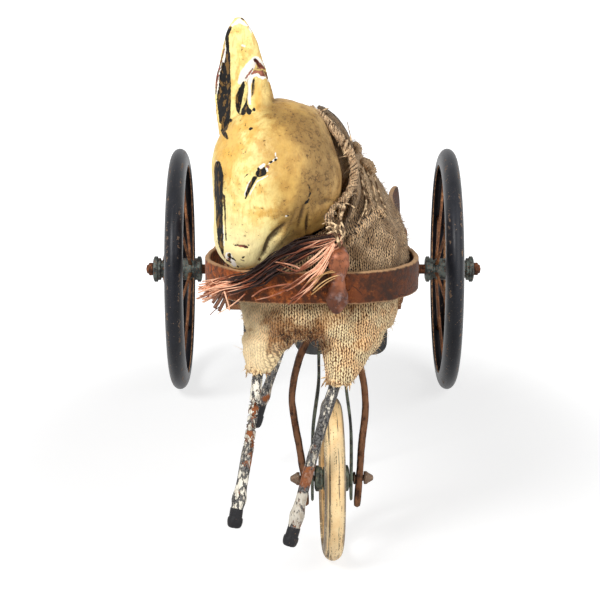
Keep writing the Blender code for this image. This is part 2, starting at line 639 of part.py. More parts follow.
def level_rings(rows, count):
    """Level ovals from rows of X, Y, Z, half width and half depth, in the goat's drawing."""
    rings = []
    for x, y, z, wide, deep in rows:
        centre = GOAT + Vector((x, y, z)) * FORM
        rings.append(oval(centre, Vector((wide * FORM, 0, 0)), Vector((0, deep * FORM, 0)), count))
    return rings


def sleeve(side, torso_form):
    """The knit that narrows down a front leg, cut by the chest above it."""
    body = loft(side + "_sleeve", level_rings(SLEEVES[side], 20), "knit")
    combine(body, copy_of(torso_form, Matrix.Translation((0, 0, -1.4 * CLEAR))))
    combine(body, leg_bore(side + "_front"))
    return body


def collar_line():
    """The knit collar's middle line, round the right of the head from its top to its throat."""
    points = [(-0.4, -14, 99.9), (7.9, -18, 93.4), (13, -21, 84.5), (15.6, -24, 71.6), (13.6, -29, 60.6)]
    points += [(10, -36, 52), (6.2, -44, 46.2)]
    return curve_through([GOAT + Vector(point) * FORM for point in points], 3)


def collar_face(ahead):
    """The collar's thickness points away from the head's middle, square to the fore and aft line."""
    return ahead.cross(Vector((0, 1, 0)))


def head_form(name, finish=None):
    """The head: full behind, narrowing to the muzzle along its axis."""
    # Each row: place along the axis, half width left, half width right, half depth
    stations = [(-27.2, 8, 1, 5), (-24, 16.5, 6.5, 12), (-18, 23, 14.5, 19), (-10, 28, 22.5, 24.5)]
    stations += [(-1, 30.8, 28, 27.5), (7, 30.6, 29.8, 28), (14, 28.8, 29.5, 27), (21, 25.3, 25.9, 24.5)]
    stations += [(28, 20.4, 20.8, 20.5), (34, 16.5, 17.3, 16.5), (41, 12.7, 15, 12.5), (46, 9.2, 12.5, 9.5)]
    stations += [(49.6, 5, 8, 5.5), (50.9, 1.8, 3.5, 2)]
    deep = HEAD_AXIS.cross(HEAD_WIDE)
    rings = []
    for along, left, right, depth in stations:
        centre = GOAT + HEAD_CENTRE + HEAD_AXIS * (along * FORM)
        rings.append(oval(centre, HEAD_WIDE, deep * (depth * FORM), 26, (right * FORM, left * FORM)))
    return loft(name, rings, finish)


def head():
    """The head on its ball, with a tall ear, a broken ear and a socket for the neck."""
    centre = GOAT + HEAD_CENTRE
    body = head_form("head", "head_paint")
    tall_ear = ear("tall_ear", TALL_EAR)
    broken_ear = ear("broken_ear", BROKEN_EAR)
    for piece in (tall_ear, broken_ear):
        combine(piece, grown(body, centre, 1 + 1.2 * CLEAR / CUP_RADIUS))
    combine(broken_ear, grown(tall_ear, GOAT + Vector((-33, -17, 105)) * FORM, 1.05))
    mouth = centre - NECK_AXIS * (CUP_RADIUS + CLEAR)
    bore = NECK_BALL_RADIUS + CLEAR
    combine(body, rod("socket", centre, mouth, bore, steps=20, end_radius=SOCKET_MOUTH_RADIUS))
    combine(body, ball("seat", centre, bore + CLEAR, steps=20))
    pivot = bpy.data.objects.new("head_pivot", None)
    pivot.location = centre
    bpy.context.scene.collection.objects.link(pivot)
    for piece in (body, tall_ear, broken_ear):
        hold(piece, pivot)
    neck = ball("neck_ball", centre, NECK_BALL_RADIUS, "wood", 16)
    inside = centre - NECK_AXIS * NECK_BALL_RADIUS * 0.5
    shank = rod("shank", inside, centre - NECK_AXIS * NECK_DOWEL_LENGTH, NECK_DOWEL_RADIUS)
    combine(neck, shank, "UNION")


# Each ear: rows of X, Y, Z, half width, half depth
TALL_EAR = (
    (-32.2, -18, 88, 12.2, 6.5), (-32.5, -19, 96.6, 13, 6.2), (-32.9, -18, 105, 13, 5.6),
    (-33.6, -16, 112.7, 11.7, 4.8), (-34.4, -14.5, 124.2, 8.9, 3.9), (-35, -13.5, 133.2, 5.8, 2.9),
    (-35.3, -13, 139.4, 1.6, 1.2),
)
BROKEN_EAR = (
    (-27.5, -31, 88, 9.5, 4.5), (-27, -32.5, 97, 8.2, 4.2), (-26.8, -32.5, 104.5, 6.8, 3.4),
    (-27, -32, 112.2, 5, 2.6), (-26.6, -31.6, 119, 2.2, 1.6),
)


def ear(name, stations):
    """An ear as ovals from its root to its tip."""
    return loft(name, level_rings(stations, 16), "head_paint")


def torso():
    """The torso with its pocket for the core, its cup for the head and its holes for neck and legs."""
    pocket = core()
    body = chest_form()
    plain = copy_of(body)
    combine(body, pocket)
    centre = GOAT + HEAD_CENTRE
    combine(body, ball("cup", centre, CUP_RADIUS, steps=28))
    form = head_form("form")
    for tool in nodding_room(form, centre):
        combine(body, tool)
    dowel_end = centre - NECK_AXIS * (NECK_DOWEL_LENGTH + CLEAR)
    combine(body, rod("bore", centre, dowel_end, NECK_DOWEL_RADIUS + CLEAR))
    room = 1 * MM
    combine(body, strap("room", band_line(), BAND_THICKNESS + room, BAND_HEIGHT + room, level_face))
    combine(body, strap("room", collar_line(), COLLAR_THICKNESS + room, COLLAR_WIDTH + room, collar_face))
    for name in LEGS:
        combine(body, leg_bore(name))
    for side in SLEEVES:
        sleeve(side, plain)
    bpy.data.objects.remove(plain)
    collar = strap("knit_collar", collar_line(), COLLAR_THICKNESS, COLLAR_WIDTH, collar_face, "knit")
    for tool in nodding_room(form, centre):
        combine(collar, tool)
    bpy.data.objects.remove(form)


def nodding_room(form, centre):
    """The head's form, a little larger, at rest and through its nod."""
    tools = []
    for share in (0, 0.5, 1):
        tool = grown(form, centre, 1.03)
        turn = Matrix.Rotation(NOD_RANGE * share, 4, NOD_AXIS)
        tool.data.transform(Matrix.Translation(centre) @ turn @ Matrix.Translation(-centre))
        tools.append(tool)
    return tools


def raffia():
    """The raffia tied at the throat: a knot, and a flat bundle that fans out past the chin."""
    chest = Vector((0, BAND_FRONT_Y, TORSO_Z))
    ball("raffia_knot", chest + Vector((5.5, -1.7, 51)) * FORM, 3.4 * FORM, "raffia", 14)
    # Each row: X, Y from the band's front, Z, half height, half depth
    stations = [(1, -0.7, 48, 2.6, 2.6), (-8.4, -2.2, 42.4, 4.4, 3.2), (-22, -3.4, 36.4, 5, 3)]
    stations += [(-35, -3.4, 31, 6, 2.8), (-43, -0.7, 27, 8, 2.6), (-49, 2.8, 24.5, 7.5, 2.2)]
    rings = []
    for x, y, z, tall, deep in stations:
        across = Vector((0.25, 0, 1)).normalized() * (tall * FORM)
        rings.append(oval(chest + Vector((x, y, z)) * FORM, across, Vector((0, deep * FORM, 0)), 16))
    loft("raffia_bundle", rings, "raffia")


def fork_strap(side, points, foot_z):
    """One hand bent iron strap from the axle up to a foot under the goat, drilled for axle and king pin."""
    tall = FORK_TOP_Z / 105
    wide = STRAP_X / 13.1
    sign = math.copysign(1, points[0][0])
    bent = [Vector((x * wide, 0, z * tall)) for x, z in points]
    bent.append(Vector((sign * STRAP_FOOT, 0, foot_z)))
    line = curve_through(bent, 3)
    line.append(Vector((-sign * STRAP_FOOT, 0, foot_z)))
    body = strap(side + "_fork_strap", line, STRAP_THICKNESS, STRAP_WIDTH, upright_face, "rusty_iron")
    axle = Vector((math.copysign(STRAP_X, points[0][0]), 0, FRONT_AXLE_Z))
    reach = Vector((2 * STRAP_THICKNESS, 0, 0))
    combine(body, rod("hole", axle - reach, axle + reach, FRONT_AXLE_RADIUS + CLEAR))
    up = Vector((0, 0, foot_z))
    rise = Vector((0, 0, 2 * STRAP_THICKNESS))
    combine(body, rod("hole", up - rise, up + rise, KING_PIN_RADIUS + CLEAR))
    return body


def stamped_fork():
    """The inner fork: one strip bent over the wheel, wider at the hub than at the crown."""
    half = BLADE_GAP + BLADE_THICKNESS / 2
    top = FORK_TOP_Z - BLADE_THICKNESS / 2
    side = [(half, 28 * MM), (half, 55 * MM), (half - 0.6 * MM, 68 * MM), (6.4 * MM, 86 * MM)]
    side += [(6.3 * MM, top - 4 * MM), (5.4 * MM, top)]
    points = [Vector((-x, 0, z)) for x, z in side] + [Vector((x, 0, z)) for x, z in reversed(side)]
    body = strap("stamped_fork", points, BLADE_THICKNESS, BLADE_WIDTH, upright_face, "dark_iron")
    reach = Vector((BLADE_GAP * 2, 0, 0))
    axle = Vector((0, 0, FRONT_AXLE_Z))
    combine(body, rod("hole", axle - reach, axle + reach, FRONT_AXLE_RADIUS + CLEAR))
    up = Vector((0, 0, top))
    rise = Vector((0, 0, 2 * BLADE_THICKNESS))
    combine(body, rod("hole", up - rise, up + rise, KING_PIN_RADIUS + CLEAR))
    return body


def fork():
    """Everything that steers: the fork, its straps, king pin, front axle with its nuts, and the wheel."""
    left = [(-12.2, 25.5), (-13.1, 39), (-15.6, 55.6), (-18, 70.5), (-18.9, 80.2), (-17, 92.4), (-13.7, 103)]
    left += [(-10.5, 108.4)]
    right = [(12.1, 24.5), (13.1, 39), (14.4, 58), (15.8, 73), (15.3, 82.7), (13.8, 91.4), (11.8, 98.6)]
    right += [(9.4, 104.8)]
    pieces = [stamped_fork(), fork_strap("left", left, LEFT_FOOT_Z), fork_strap("right", right, RIGHT_FOOT_Z)]
    head_top = FORK_TOP_Z - BLADE_THICKNESS - CLEAR
    head_low = head_top - KING_PIN_HEAD_HEIGHT
    pin_top = FORK_TOP_Z + KING_PIN_LENGTH
    pin = [(head_low, 0), (head_low, KING_PIN_HEAD_RADIUS), (head_top, KING_PIN_HEAD_RADIUS)]
    pin += [(head_top, KING_PIN_RADIUS), (pin_top, KING_PIN_RADIUS), (pin_top, 0)]
    pieces.append(turned("king_pin", pin, 12, (0, 0, 0), (0, 0, 1), "steel"))
    ring = [(0, KING_PIN_RADIUS + CLEAR), (0, STEER_WASHER_RADIUS)]
    ring += [(STEER_WASHER_THICKNESS, STEER_WASHER_RADIUS), (STEER_WASHER_THICKNESS, KING_PIN_RADIUS + CLEAR)]
    pieces.append(turned("steering_washer", ring, 20, (0, 0, STEER_WASHER_Z), (0, 0, 1), "steel"))
    nut_start = STRAP_X + STRAP_THICKNESS / 2 + 2 * CLEAR
    reach = nut_start + CONE_NUT_LENGTH * 0.55
    axle = Vector((0, 0, FRONT_AXLE_Z))
    ends = [axle + Vector((x, 0, 0)) for x in (-reach, reach)]
    pieces.append(rod("front_axle", ends[0], ends[1], FRONT_AXLE_RADIUS, "steel"))
    bore = FRONT_AXLE_RADIUS + CLEAR
    pocket = CONE_NUT_LENGTH * 0.55 + CLEAR
    for side, sign in (("left", -1), ("right", 1)):
        outline = [(0, bore), (0, CONE_NUT_RADIUS), (CONE_NUT_LENGTH * 0.35, CONE_NUT_RADIUS)]
        outline += [(CONE_NUT_LENGTH, 1.1 * MM), (CONE_NUT_LENGTH, 0), (pocket, 0), (pocket, bore)]
        place = axle + Vector((sign * nut_start, 0, 0))
        pieces.append(axle_nut(side + "_cone_nut", outline, place, (sign, 0, 0)))
        washer_start = BLADE_GAP + BLADE_THICKNESS + CLEAR
        thick = STRAP_X - STRAP_THICKNESS / 2 - washer_start - CLEAR
        ring = [(0, bore), (0, FORK_WASHER_RADIUS), (thick, FORK_WASHER_RADIUS), (thick, bore)]
        place = axle + Vector((sign * washer_start, 0, 0))
        pieces.append(turned(side + "_fork_washer", ring, 14, place, (sign, 0, 0), "steel"))
    wheel = front_wheel()
    pivot = bpy.data.objects.new("fork_pivot", None)
    bpy.context.scene.collection.objects.link(pivot)
    for piece in pieces + wheel:
        piece.parent = pivot
    pivot.location = (FRONT_WHEEL_X, FRONT_AXLE_Y, 0)
    pivot.rotation_euler = (0, 0, STEER_REST)


def front_wheel():
    """Rim, spokes and hub of the front wheel, about its own axle."""
    axle = Vector((0, 0, FRONT_AXLE_Z))
    axis = (1, 0, 0)
    length = 2 * (FRONT_HUB_HALF - FRONT_HUB_FLANGE * 0.6 - CLEAR)
    wires = channel_floor(FRONT_WHEEL_RADIUS, FRONT_RIM_DEPTH) - CLEAR
    bore = FRONT_AXLE_RADIUS + CLEAR
    return [
        rim("front_rim", FRONT_WHEEL_RADIUS, FRONT_RIM_WIDTH, FRONT_RIM_DEPTH, 36, axle, axis, "cream_paint"),
        spokes("front_spokes", FRONT_SPOKES, FRONT_SPOKE_RADIUS, FRONT_HUB_BARREL + CLEAR, length, wires,
               FRONT_SPOKE_SPREAD, axle, axis, 0, "cream_paint"),
        hub("front_hub", FRONT_HUB_HALF, FRONT_HUB_FLANGE, FRONT_HUB_BARREL, bore, 18,
            axle, axis, "dark_iron"),
    ]


def apron():
    """The cart's front sheet, which ends in three round lobes below the floor."""
    half = APRON_HALF_WIDTH
    lobes = [(-half, -half * 0.63), (-half * 0.29, half * 0.27), (half * 0.6, half)]
    tab = CART_HALF_WIDTH - 2 * MM
    outline = [(-half, APRON_SHOULDER_Z)]
    for low, high in lobes:
        centre, reach = (low + high) / 2, (high - low) / 2
        for step in range(9):
            angle = math.pi * step / 8
            drop = (APRON_NOTCH_Z - APRON_BOTTOM_Z) * math.sin(angle) ** 0.7
            outline.append((centre - reach * math.cos(angle), APRON_NOTCH_Z - drop))
    neck = APRON_SHOULDER_Z + 1 * MM
    outline += [(half, APRON_SHOULDER_Z), (tab, neck), (tab, APRON_TOP_Z), (-tab, APRON_TOP_Z), (-tab, neck)]
    front = REAR_AXLE_Y - CART_FRONT
    rings = [[Vector((x, y, z)) for x, z in outline] for y in (front - SHEET, front)]
    loft("cart_apron", rings, "cart_tin")


def cart():
    """The tin cart on the rear axle: floor, sides, bench and back, on two saddles."""
    front = REAR_AXLE_Y - CART_FRONT + CLEAR
    back = REAR_AXLE_Y + CART_REAR
    floor_top = CART_FLOOR_Z + SHEET
    apron()
    box("cart_floor", (-CART_HALF_WIDTH, front, CART_FLOOR_Z), (CART_HALF_WIDTH, back, floor_top), "cart_tin")
    wall = CART_HALF_WIDTH - SHEET
    for side, sign in (("left", -1), ("right", 1)):
        xs = sorted((sign * wall, sign * CART_HALF_WIDTH))
        low = (xs[0], front, floor_top + CLEAR)
        box("cart_" + side + "_side", low, (xs[1], back, CART_SIDE_TOP_Z), "cart_tin")
        xs = [sign * BRACKET_X - BRACKET_WIDTH / 2, sign * BRACKET_X + BRACKET_WIDTH / 2]
        depth = REAR_AXLE_RADIUS + BRACKET_WALL
        low = (xs[0], REAR_AXLE_Y - depth, REAR_AXLE_Z - depth)
        high = (xs[1], REAR_AXLE_Y + depth, CART_FLOOR_Z - CLEAR)
        saddle = box(side + "_axle_bracket", low, high, "dark_iron")
        ends = [Vector((x, REAR_AXLE_Y, REAR_AXLE_Z)) for x in (xs[0] - BRACKET_WALL, xs[1] + BRACKET_WALL)]
        combine(saddle, rod("hole", ends[0], ends[1], REAR_AXLE_RADIUS + CLEAR, steps=16))
    inside = wall - CLEAR
    seat_low = floor_top + CLEAR
    seat_back = back - CLEAR
    seat_high = (inside, seat_back, seat_low + SEAT_HEIGHT)
    seat = box("cart_seat", (-inside, seat_back - SEAT_DEPTH, seat_low), seat_high, "wood")
    hollow_low = (-inside - SHEET, seat_back - SEAT_DEPTH + 3 * SHEET, seat_low - SHEET)
    hollow_high = (inside + SHEET, seat_back + SHEET, seat_low + SEAT_HEIGHT - 2.5 * SHEET)
    combine(seat, box("hollow", hollow_low, hollow_high))
    half = CART_HALF_WIDTH
    outline = [(-half, CART_FLOOR_Z), (half, CART_FLOOR_Z), (half, CART_SIDE_TOP_Z)]
    rise = CART_BACK_TOP_Z - CART_SIDE_TOP_Z
    for step in range(1, 8):
        angle = math.pi * step / 8
        outline.append((half * math.cos(angle), CART_SIDE_TOP_Z + rise * math.sin(angle)))
    outline.append((-half, CART_SIDE_TOP_Z))
    rings = [[Vector((x, y, z)) for x, z in outline] for y in (back + CLEAR, back + CLEAR + SHEET)]
    loft("cart_back", rings, "cart_tin")


def main():
    """Clears the scene and builds the toy."""
    for old in list(bpy.data.objects):
        bpy.data.objects.remove(old)
    rear_axle()
    rear_wheel("left", -1)
    rear_wheel("right", 1)
    frame_band()
    bearer()
    tow_hook()
    torso()
    head()
    for name in LEGS:
        leg(name)
    raffia()
    fork()
    cart()


main()
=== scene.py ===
import math

import bmesh
import bpy
import numpy as np
from mathutils import Matrix, Vector


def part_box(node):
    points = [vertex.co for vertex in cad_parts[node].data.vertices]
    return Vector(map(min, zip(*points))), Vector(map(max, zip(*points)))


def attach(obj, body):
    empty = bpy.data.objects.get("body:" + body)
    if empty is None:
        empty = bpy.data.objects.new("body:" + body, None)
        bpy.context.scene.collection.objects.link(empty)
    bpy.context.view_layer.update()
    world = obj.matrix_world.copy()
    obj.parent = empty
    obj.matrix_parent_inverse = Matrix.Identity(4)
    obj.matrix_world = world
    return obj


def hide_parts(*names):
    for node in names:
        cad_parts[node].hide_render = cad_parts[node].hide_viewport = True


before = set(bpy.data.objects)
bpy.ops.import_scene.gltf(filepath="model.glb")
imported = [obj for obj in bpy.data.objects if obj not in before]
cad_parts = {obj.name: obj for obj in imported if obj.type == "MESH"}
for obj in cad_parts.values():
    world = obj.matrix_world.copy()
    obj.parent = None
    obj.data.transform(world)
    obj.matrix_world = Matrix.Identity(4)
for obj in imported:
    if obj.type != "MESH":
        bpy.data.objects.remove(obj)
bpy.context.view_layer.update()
mm = 0.001
print("frame loaded:", len(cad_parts), "nodes")

# camera, at the photograph's angle

camera = {"place": (-8.4, -988.25, 329.7), "lookDown": 13.7, "lens": 110.9, "sensor": 36}


def placeCamera(values):
    data = bpy.data.cameras.new("camera")
    data.lens = values["lens"]
    data.sensor_width = values["sensor"]
    eye = bpy.data.objects.new("camera", data)
    eye.location = Vector(values["place"]) * mm
    eye.rotation_euler = (math.radians(90 - values["lookDown"]), 0, 0)
    bpy.context.scene.collection.objects.link(eye)
    bpy.context.scene.camera = eye


placeCamera(camera)
print("camera placed")

# shader maths: a Value is one socket, and Python's operators on it add Math nodes


class Value:
    def __init__(self, finish, socket):
        self.finish = finish
        self.socket = socket

    def calc(self, operation, *others):
        return self.finish.node("Math", {"operation": operation}, dict(enumerate((self, *others))))

    def __add__(self, other):
        return self.calc("ADD", other)

    def __sub__(self, other):
        return self.calc("SUBTRACT", other)

    def __rsub__(self, other):
        return self.calc("MULTIPLY", -1).calc("ADD", other)

    def __mul__(self, other):
        return self.calc("MULTIPLY", other)

    def __truediv__(self, other):
        return self.calc("DIVIDE", other)

    def __pow__(self, other):
        return self.calc("POWER", other)

    def __abs__(self):
        return self.calc("ABSOLUTE")

    __radd__ = __add__
    __rmul__ = __mul__


def tone(red, green, blue):
    # screen colour, 0 to 255, as linear light
    channels = [c / 255 for c in (red, green, blue)]
    return tuple(c / 12.92 if c <= 0.04045 else ((c + 0.055) / 1.055) ** 2.4 for c in channels) + (1,)


class Finish:
    # one material: over() paints on its colour so far, and wear() sets the shader's sockets
    sockets = {"colour": "Base Color", "roughness": "Roughness", "metallic": "Metallic", "normal": "Normal",
               "specular": "Specular IOR Level", "sheen": "Sheen Weight", "sheenRoughness": "Sheen Roughness"}

    def __init__(self, name, world=False):
        self.material = (bpy.data.worlds if world else bpy.data.materials).new(name)
        self.material.use_nodes = True
        self.tree = self.material.node_tree
        self.shader = self.tree.nodes["Background" if world else "Principled BSDF"]
        self.place = self.node("TexCoord", output="Object")

    def node(self, kind, settings=None, inputs=None, output=0):
        made = self.tree.nodes.new("ShaderNode" + kind)
        for key, value in (settings or {}).items():
            setattr(made, key, value)
        for key, value in (inputs or {}).items():
            if isinstance(value, Value):
                self.tree.links.new(value.socket, made.inputs[key])
            else:
                made.inputs[key].default_value = value
        return Value(self, made.outputs[output])

    def noise(self, size, detail=4, rough=0.55, at=None, stretch=None):
        # cloudy pattern whose blobs are about size mm across; stretch scales X, Y and Z first
        at = at or self.place
        if stretch:
            at = self.node("Mapping", None, {"Vector": at, "Scale": stretch})
        inputs = {"Vector": at, "Scale": 1000 / size, "Detail": detail, "Roughness": rough}
        return self.node("TexNoise", None, inputs)

    def cracks(self, size, scale, reach):
        # distance to the nearest line of a net with cells of about size mm; a drift makes the lines wavy
        drift = self.node("TexNoise", None, {"Vector": self.place, "Scale": scale}, 1)
        wavy = self.shifted(self.place, drift, reach)
        settings, inputs = {"feature": "DISTANCE_TO_EDGE"}, {"Vector": wavy, "Scale": 1000 / size}
        return self.node("TexVoronoi", settings, inputs)

    def shifted(self, place, drift, reach):
        # place plus drift times reach, in metres
        inputs = {0: drift, 1: (reach,) * 3, 2: place}
        return self.node("VectorMath", {"operation": "MULTIPLY_ADD"}, inputs)

    def part(self, axis, at=None):
        return self.node("SeparateXYZ", None, {0: at or self.place}, axis)

    def attribute(self, name):
        return self.node("Attribute", {"attribute_name": name}, None, "Fac")

    def rise(self, value, low, high):
        # 0 below low, 1 above high, smooth between; low above high turns it round
        return self.node("MapRange", {"interpolation_type": "SMOOTHSTEP"},
                         {"Value": value, "From Min": low, "From Max": high})

    def mix(self, factor, first, second):
        # a colour written as red, green and blue from 0 to 255 is taken as it looks on screen
        first, second = (tone(*colour) if isinstance(colour, tuple) else colour for colour in (first, second))
        return self.node("Mix", {"data_type": "RGBA"}, {0: factor, 6: first, 7: second}, 2)

    def over(self, factor, colour):
        self.colour = self.mix(factor, self.colour, colour)

    def bump(self, height, depth):
        # depth in mm for a height of 1
        return self.node("Bump", None, {"Strength": 1, "Distance": depth * mm, "Height": height})

    def wear(self, **values):
        if hasattr(self, "colour"):
            values["colour"] = self.colour
        for key, value in values.items():
            socket = self.shader.inputs[self.sockets[key]]
            if isinstance(value, Value):
                self.tree.links.new(value.socket, socket)
            else:
                socket.default_value = value
        return self.material

    def notLighting(self):
        # 1 for what the camera, a gloss or a glass sees, 0 for what only lights
        rays = [self.node("LightPath", output=kind)
                for kind in ("Is Camera Ray", "Is Glossy Ray", "Is Transmission Ray")]
        return rays[0].calc("MAXIMUM", rays[1]).calc("MAXIMUM", rays[2])

    def share(self, factor, other, output):
        # the shader and another one, mixed, go to the output
        both = self.node("MixShader", None, {0: factor, 2: other})
        self.tree.links.new(self.shader.outputs[0], both.socket.node.inputs[1])
        self.tree.links.new(both.socket, self.tree.nodes[output].inputs["Surface"])


# meshes: points worked out as whole arrays, then put into the mesh


def unit(ways):
    # one vector, or each vector of an array, at length 1
    ways = np.asarray(ways, float)
    return ways / np.maximum(np.linalg.norm(ways, axis=-1, keepdims=True), 1e-12)


def facesOfGrid(rows, columns, loopRows, loopColumns):
    # numbers of the four corners of each face of a grid of points
    i = np.arange(rows if loopRows else rows - 1)
    j = np.arange(columns if loopColumns else columns - 1)
    i, j = np.meshgrid(i, j, indexing="ij")
    after, beside = (i + 1) % rows, (j + 1) % columns
    corners = (i * columns + j, i * columns + beside, after * columns + beside, after * columns + j)
    return np.stack(corners, -1).reshape(-1, 4)


def makePiece(name, points, faces, material, smooth=True, fields=None, merge=True):
    mesh = bpy.data.meshes.new(name)
    mesh.from_pydata(points.reshape(-1, 3).tolist(), [], [list(face) for face in faces])
    for key, values in (fields or {}).items():
        field = mesh.attributes.new(key, "FLOAT", "POINT")
        field.data.foreach_set("value", np.asarray(values, np.float32).ravel())
    if merge:
        edit = bmesh.new()
        edit.from_mesh(mesh)
        bmesh.ops.remove_doubles(edit, verts=edit.verts, dist=1e-6)
        bmesh.ops.recalc_face_normals(edit, faces=edit.faces)
        edit.to_mesh(mesh)
        edit.free()
    piece = bpy.data.objects.new(name, mesh)
    bpy.context.scene.collection.objects.link(piece)
    if material:
        mesh.materials.append(material)
    if smooth:
        mesh.shade_smooth()
    return piece


def skin(name, grid, material, loopRows=False, loopColumns=True, ends=True, **options):
    # a grid of points as one surface; ends closes the first and last row with one face each
    rows, columns = grid.shape[:2]
    faces = [tuple(face) for face in facesOfGrid(rows, columns, loopRows, loopColumns)]
    if ends and not loopRows:
        faces.append(tuple(range(columns)))
        faces.append(tuple(range((rows - 1) * columns, rows * columns)))
    return makePiece(name, grid, faces, material, **options)


def softCorners(outline, radius, closed, steps=3):
    # each corner of an outline becomes a short arc that starts and ends radius away from it
    outline = np.asarray(outline, float)
    before, after = np.roll(outline, 1, 0), np.roll(outline, -1, 0)
    made = []
    for corner, near, far in zip(outline, before, after):
        toNear, toFar = near - corner, far - corner
        lengths = np.linalg.norm(toNear), np.linalg.norm(toFar)
        start = corner + toNear / max(lengths[0], 1e-9) * min(radius, lengths[0] * 0.45)
        end = corner + toFar / max(lengths[1], 1e-9) * min(radius, lengths[1] * 0.45)
        t = np.linspace(0, 1, steps + 1)[:, None]
        made.append(start * (1 - t) ** 2 + corner * 2 * t * (1 - t) + end * t ** 2)
    if not closed:
        made[0], made[-1] = outline[:1], outline[-1:]
    return np.concatenate(made)


def turnedPiece(name, outline, place, axis, material, steps=96, round=0.3, closed=False, wobble=0, **options):
    # an outline of (along, radius) in mm, its corners softened, turned about an axis through a place
    outline = softCorners(outline, round, closed) if round else np.asarray(outline, float)
    axis = unit(axis)
    side = unit(np.cross(axis, (0, 0, 1) if abs(axis[2]) < 0.9 else (0, 1, 0)))
    up = np.cross(axis, side)
    angle = np.linspace(0, 2 * math.pi, steps, endpoint=False)
    spread = np.cos(angle)[:, None] * side + np.sin(angle)[:, None] * up
    along, radius = outline[:, 0, None, None], outline[:, 1, None, None]
    wave = 1 + wobble * np.sin(3 * angle + 1)[None, :, None]
    grid = np.asarray(place) + (along * axis + radius * wave * spread[None]) * mm
    return skin(name, grid, material, loopRows=closed, ends=False, **options)


def curve(a, b, c, d, t):
    # Catmull-Rom curve from b to c
    return 0.5 * (2 * b + (c - a) * t + (2 * a - 5 * b + 4 * c - d) * t ** 2 + (3 * b - a - 3 * c + d) * t ** 3)


def smoothLine(points, count):
    # smooth line through points, as count points evenly spaced along it
    points = np.asarray(points, float)
    padded = np.concatenate((2 * points[:1] - points[1:2], points, 2 * points[-1:] - points[-2:-1]))
    t = np.linspace(0, 1, 24, endpoint=False)[:, None]
    spans = [curve(*four, t) for four in zip(padded[:-3], padded[1:-2], padded[2:-1], padded[3:])]
    fine = np.concatenate(spans + [points[-1:]])
    walked = np.concatenate(([0], np.cumsum(np.linalg.norm(np.diff(fine, axis=0), axis=1))))
    return np.stack([np.interp(np.linspace(0, walked[-1], count), walked, fine[:, k]) for k in range(3)], -1)


def sway(random, count, width, mode="same"):
    # random numbers smoothed over width of them
    return np.convolve(random.normal(0, 1, count), np.ones(width) / width, mode)


def directions(lines):
    return unit(np.gradient(lines, axis=-2))


def strapPiece(name, line, thickness, width, faceOf, material, corner=0.35, rough=0.0, seed=1, ends=0.0):
    # a bar with softened corners along a line; its width in mm may change along it
    ahead = directions(line)
    face = unit(faceOf(ahead))
    edge = np.cross(ahead, face)
    count = len(line)
    square = np.array([(1, 1), (-1, 1), (-1, -1), (1, -1)], float)
    sections = []
    for wide in np.broadcast_to(width, count):
        turns = softCorners(square * (thickness / 2, wide / 2), min(corner, thickness * 0.4), True)
        turns = turns.reshape(4, 4, 2)
        flats = [turns[:, 3:] * (1 - f) + np.roll(turns, -1, 0)[:, :1] * f for f in (1 / 3, 2 / 3)]
        sections.append(np.concatenate((turns, *flats), 1).reshape(-1, 2))
    sections = np.array(sections)
    if ends:
        # the last stretch of ends points is drawn in, round like the end of a forged bar
        reach = np.minimum(np.linspace(0, 1, count), np.linspace(1, 0, count)) * count
        left = 1 - np.clip(reach[:, None] / (ends * 0.35, ends), 0, 1)
        sections = sections * np.sqrt(np.clip(1 - left ** 2, 0.05, 1))[:, None]
    bumps = np.random.default_rng(seed).normal(0, 1, sections.shape[:2])
    for axis in (0, 0, 0, 1):
        bumps = (np.roll(bumps, 1, axis) + bumps * 2 + np.roll(bumps, -1, axis)) / 4
    sections = sections * (1 + rough * bumps[..., None] * 3)
    grid = line[:, None] + (sections[..., :1] * face[:, None] + sections[..., 1:] * edge[:, None]) * mm
    nearEdge = np.abs(sections[..., 1]) / np.abs(sections[..., 1]).max(1, keepdims=True)
    return skin(name, grid, material, fields={"edge": nearEdge})


def strandPiece(name, lines, radii, material, sides=5, flat=1.0, shade=None):
    # many thin strands as one piece: lines is strands by points by 3, radii in mm is strands by points
    lines = np.asarray(lines, float)
    strands, count = lines.shape[:2]
    radii = np.broadcast_to(np.asarray(radii, float), (strands, count))
    ahead = directions(lines)
    side = unit(np.cross(ahead, (0.13, 0.21, 0.97)))
    up = np.cross(ahead, side)
    angle = np.linspace(0, 2 * math.pi, sides, endpoint=False)
    around = np.cos(angle)[:, None] * side[:, :, None] + flat * np.sin(angle)[:, None] * up[:, :, None]
    grid = lines[:, :, None] + around * radii[:, :, None, None] * mm
    first = np.arange(strands) * count * sides
    faces = (facesOfGrid(count, sides, False, True)[None] + first[:, None, None]).reshape(-1, 4)
    ends = np.arange(sides)[None] + first[:, None]
    caps = np.concatenate((ends, ends + (count - 1) * sides))
    fields = {} if shade is None else {"shade": np.repeat(shade, count * sides)}
    return makePiece(name, grid, [*faces.tolist(), *caps.tolist()], material, fields=fields)


def middleOf(node):
    low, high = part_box(node)
    return (low + high) / 2


def lowEnd(node, axis):
    # the middle of a node's lower end along an axis, and the node's length along it in mm
    low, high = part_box(node)
    base = (low + high) / 2
    base[axis] = low[axis]
    return base, (high[axis] - low[axis]) / mm


def boxInMm(node):
    return [np.array(corner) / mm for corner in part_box(node)]


def tube(start, end, inner, outer):
    # outline of a plain tube, ring or solid bar
    return [(start, inner), (start, outer), (end, outer), (end, inner)]


def put(piece, body, slot, *nodes):
    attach(piece, body)
    if nodes:
        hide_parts(*nodes)
    return piece


def frameStrands(name, slot, lines, radii, material, sides=6, flat=1.0, shade=None, nodes=()):
    # strands given in mm that stay on the frame
    piece = strandPiece(name, np.asarray(lines, float) * mm, radii, material, sides, flat, shade)
    put(piece, "frame", slot, *nodes)


print("tools ready")

# finishes


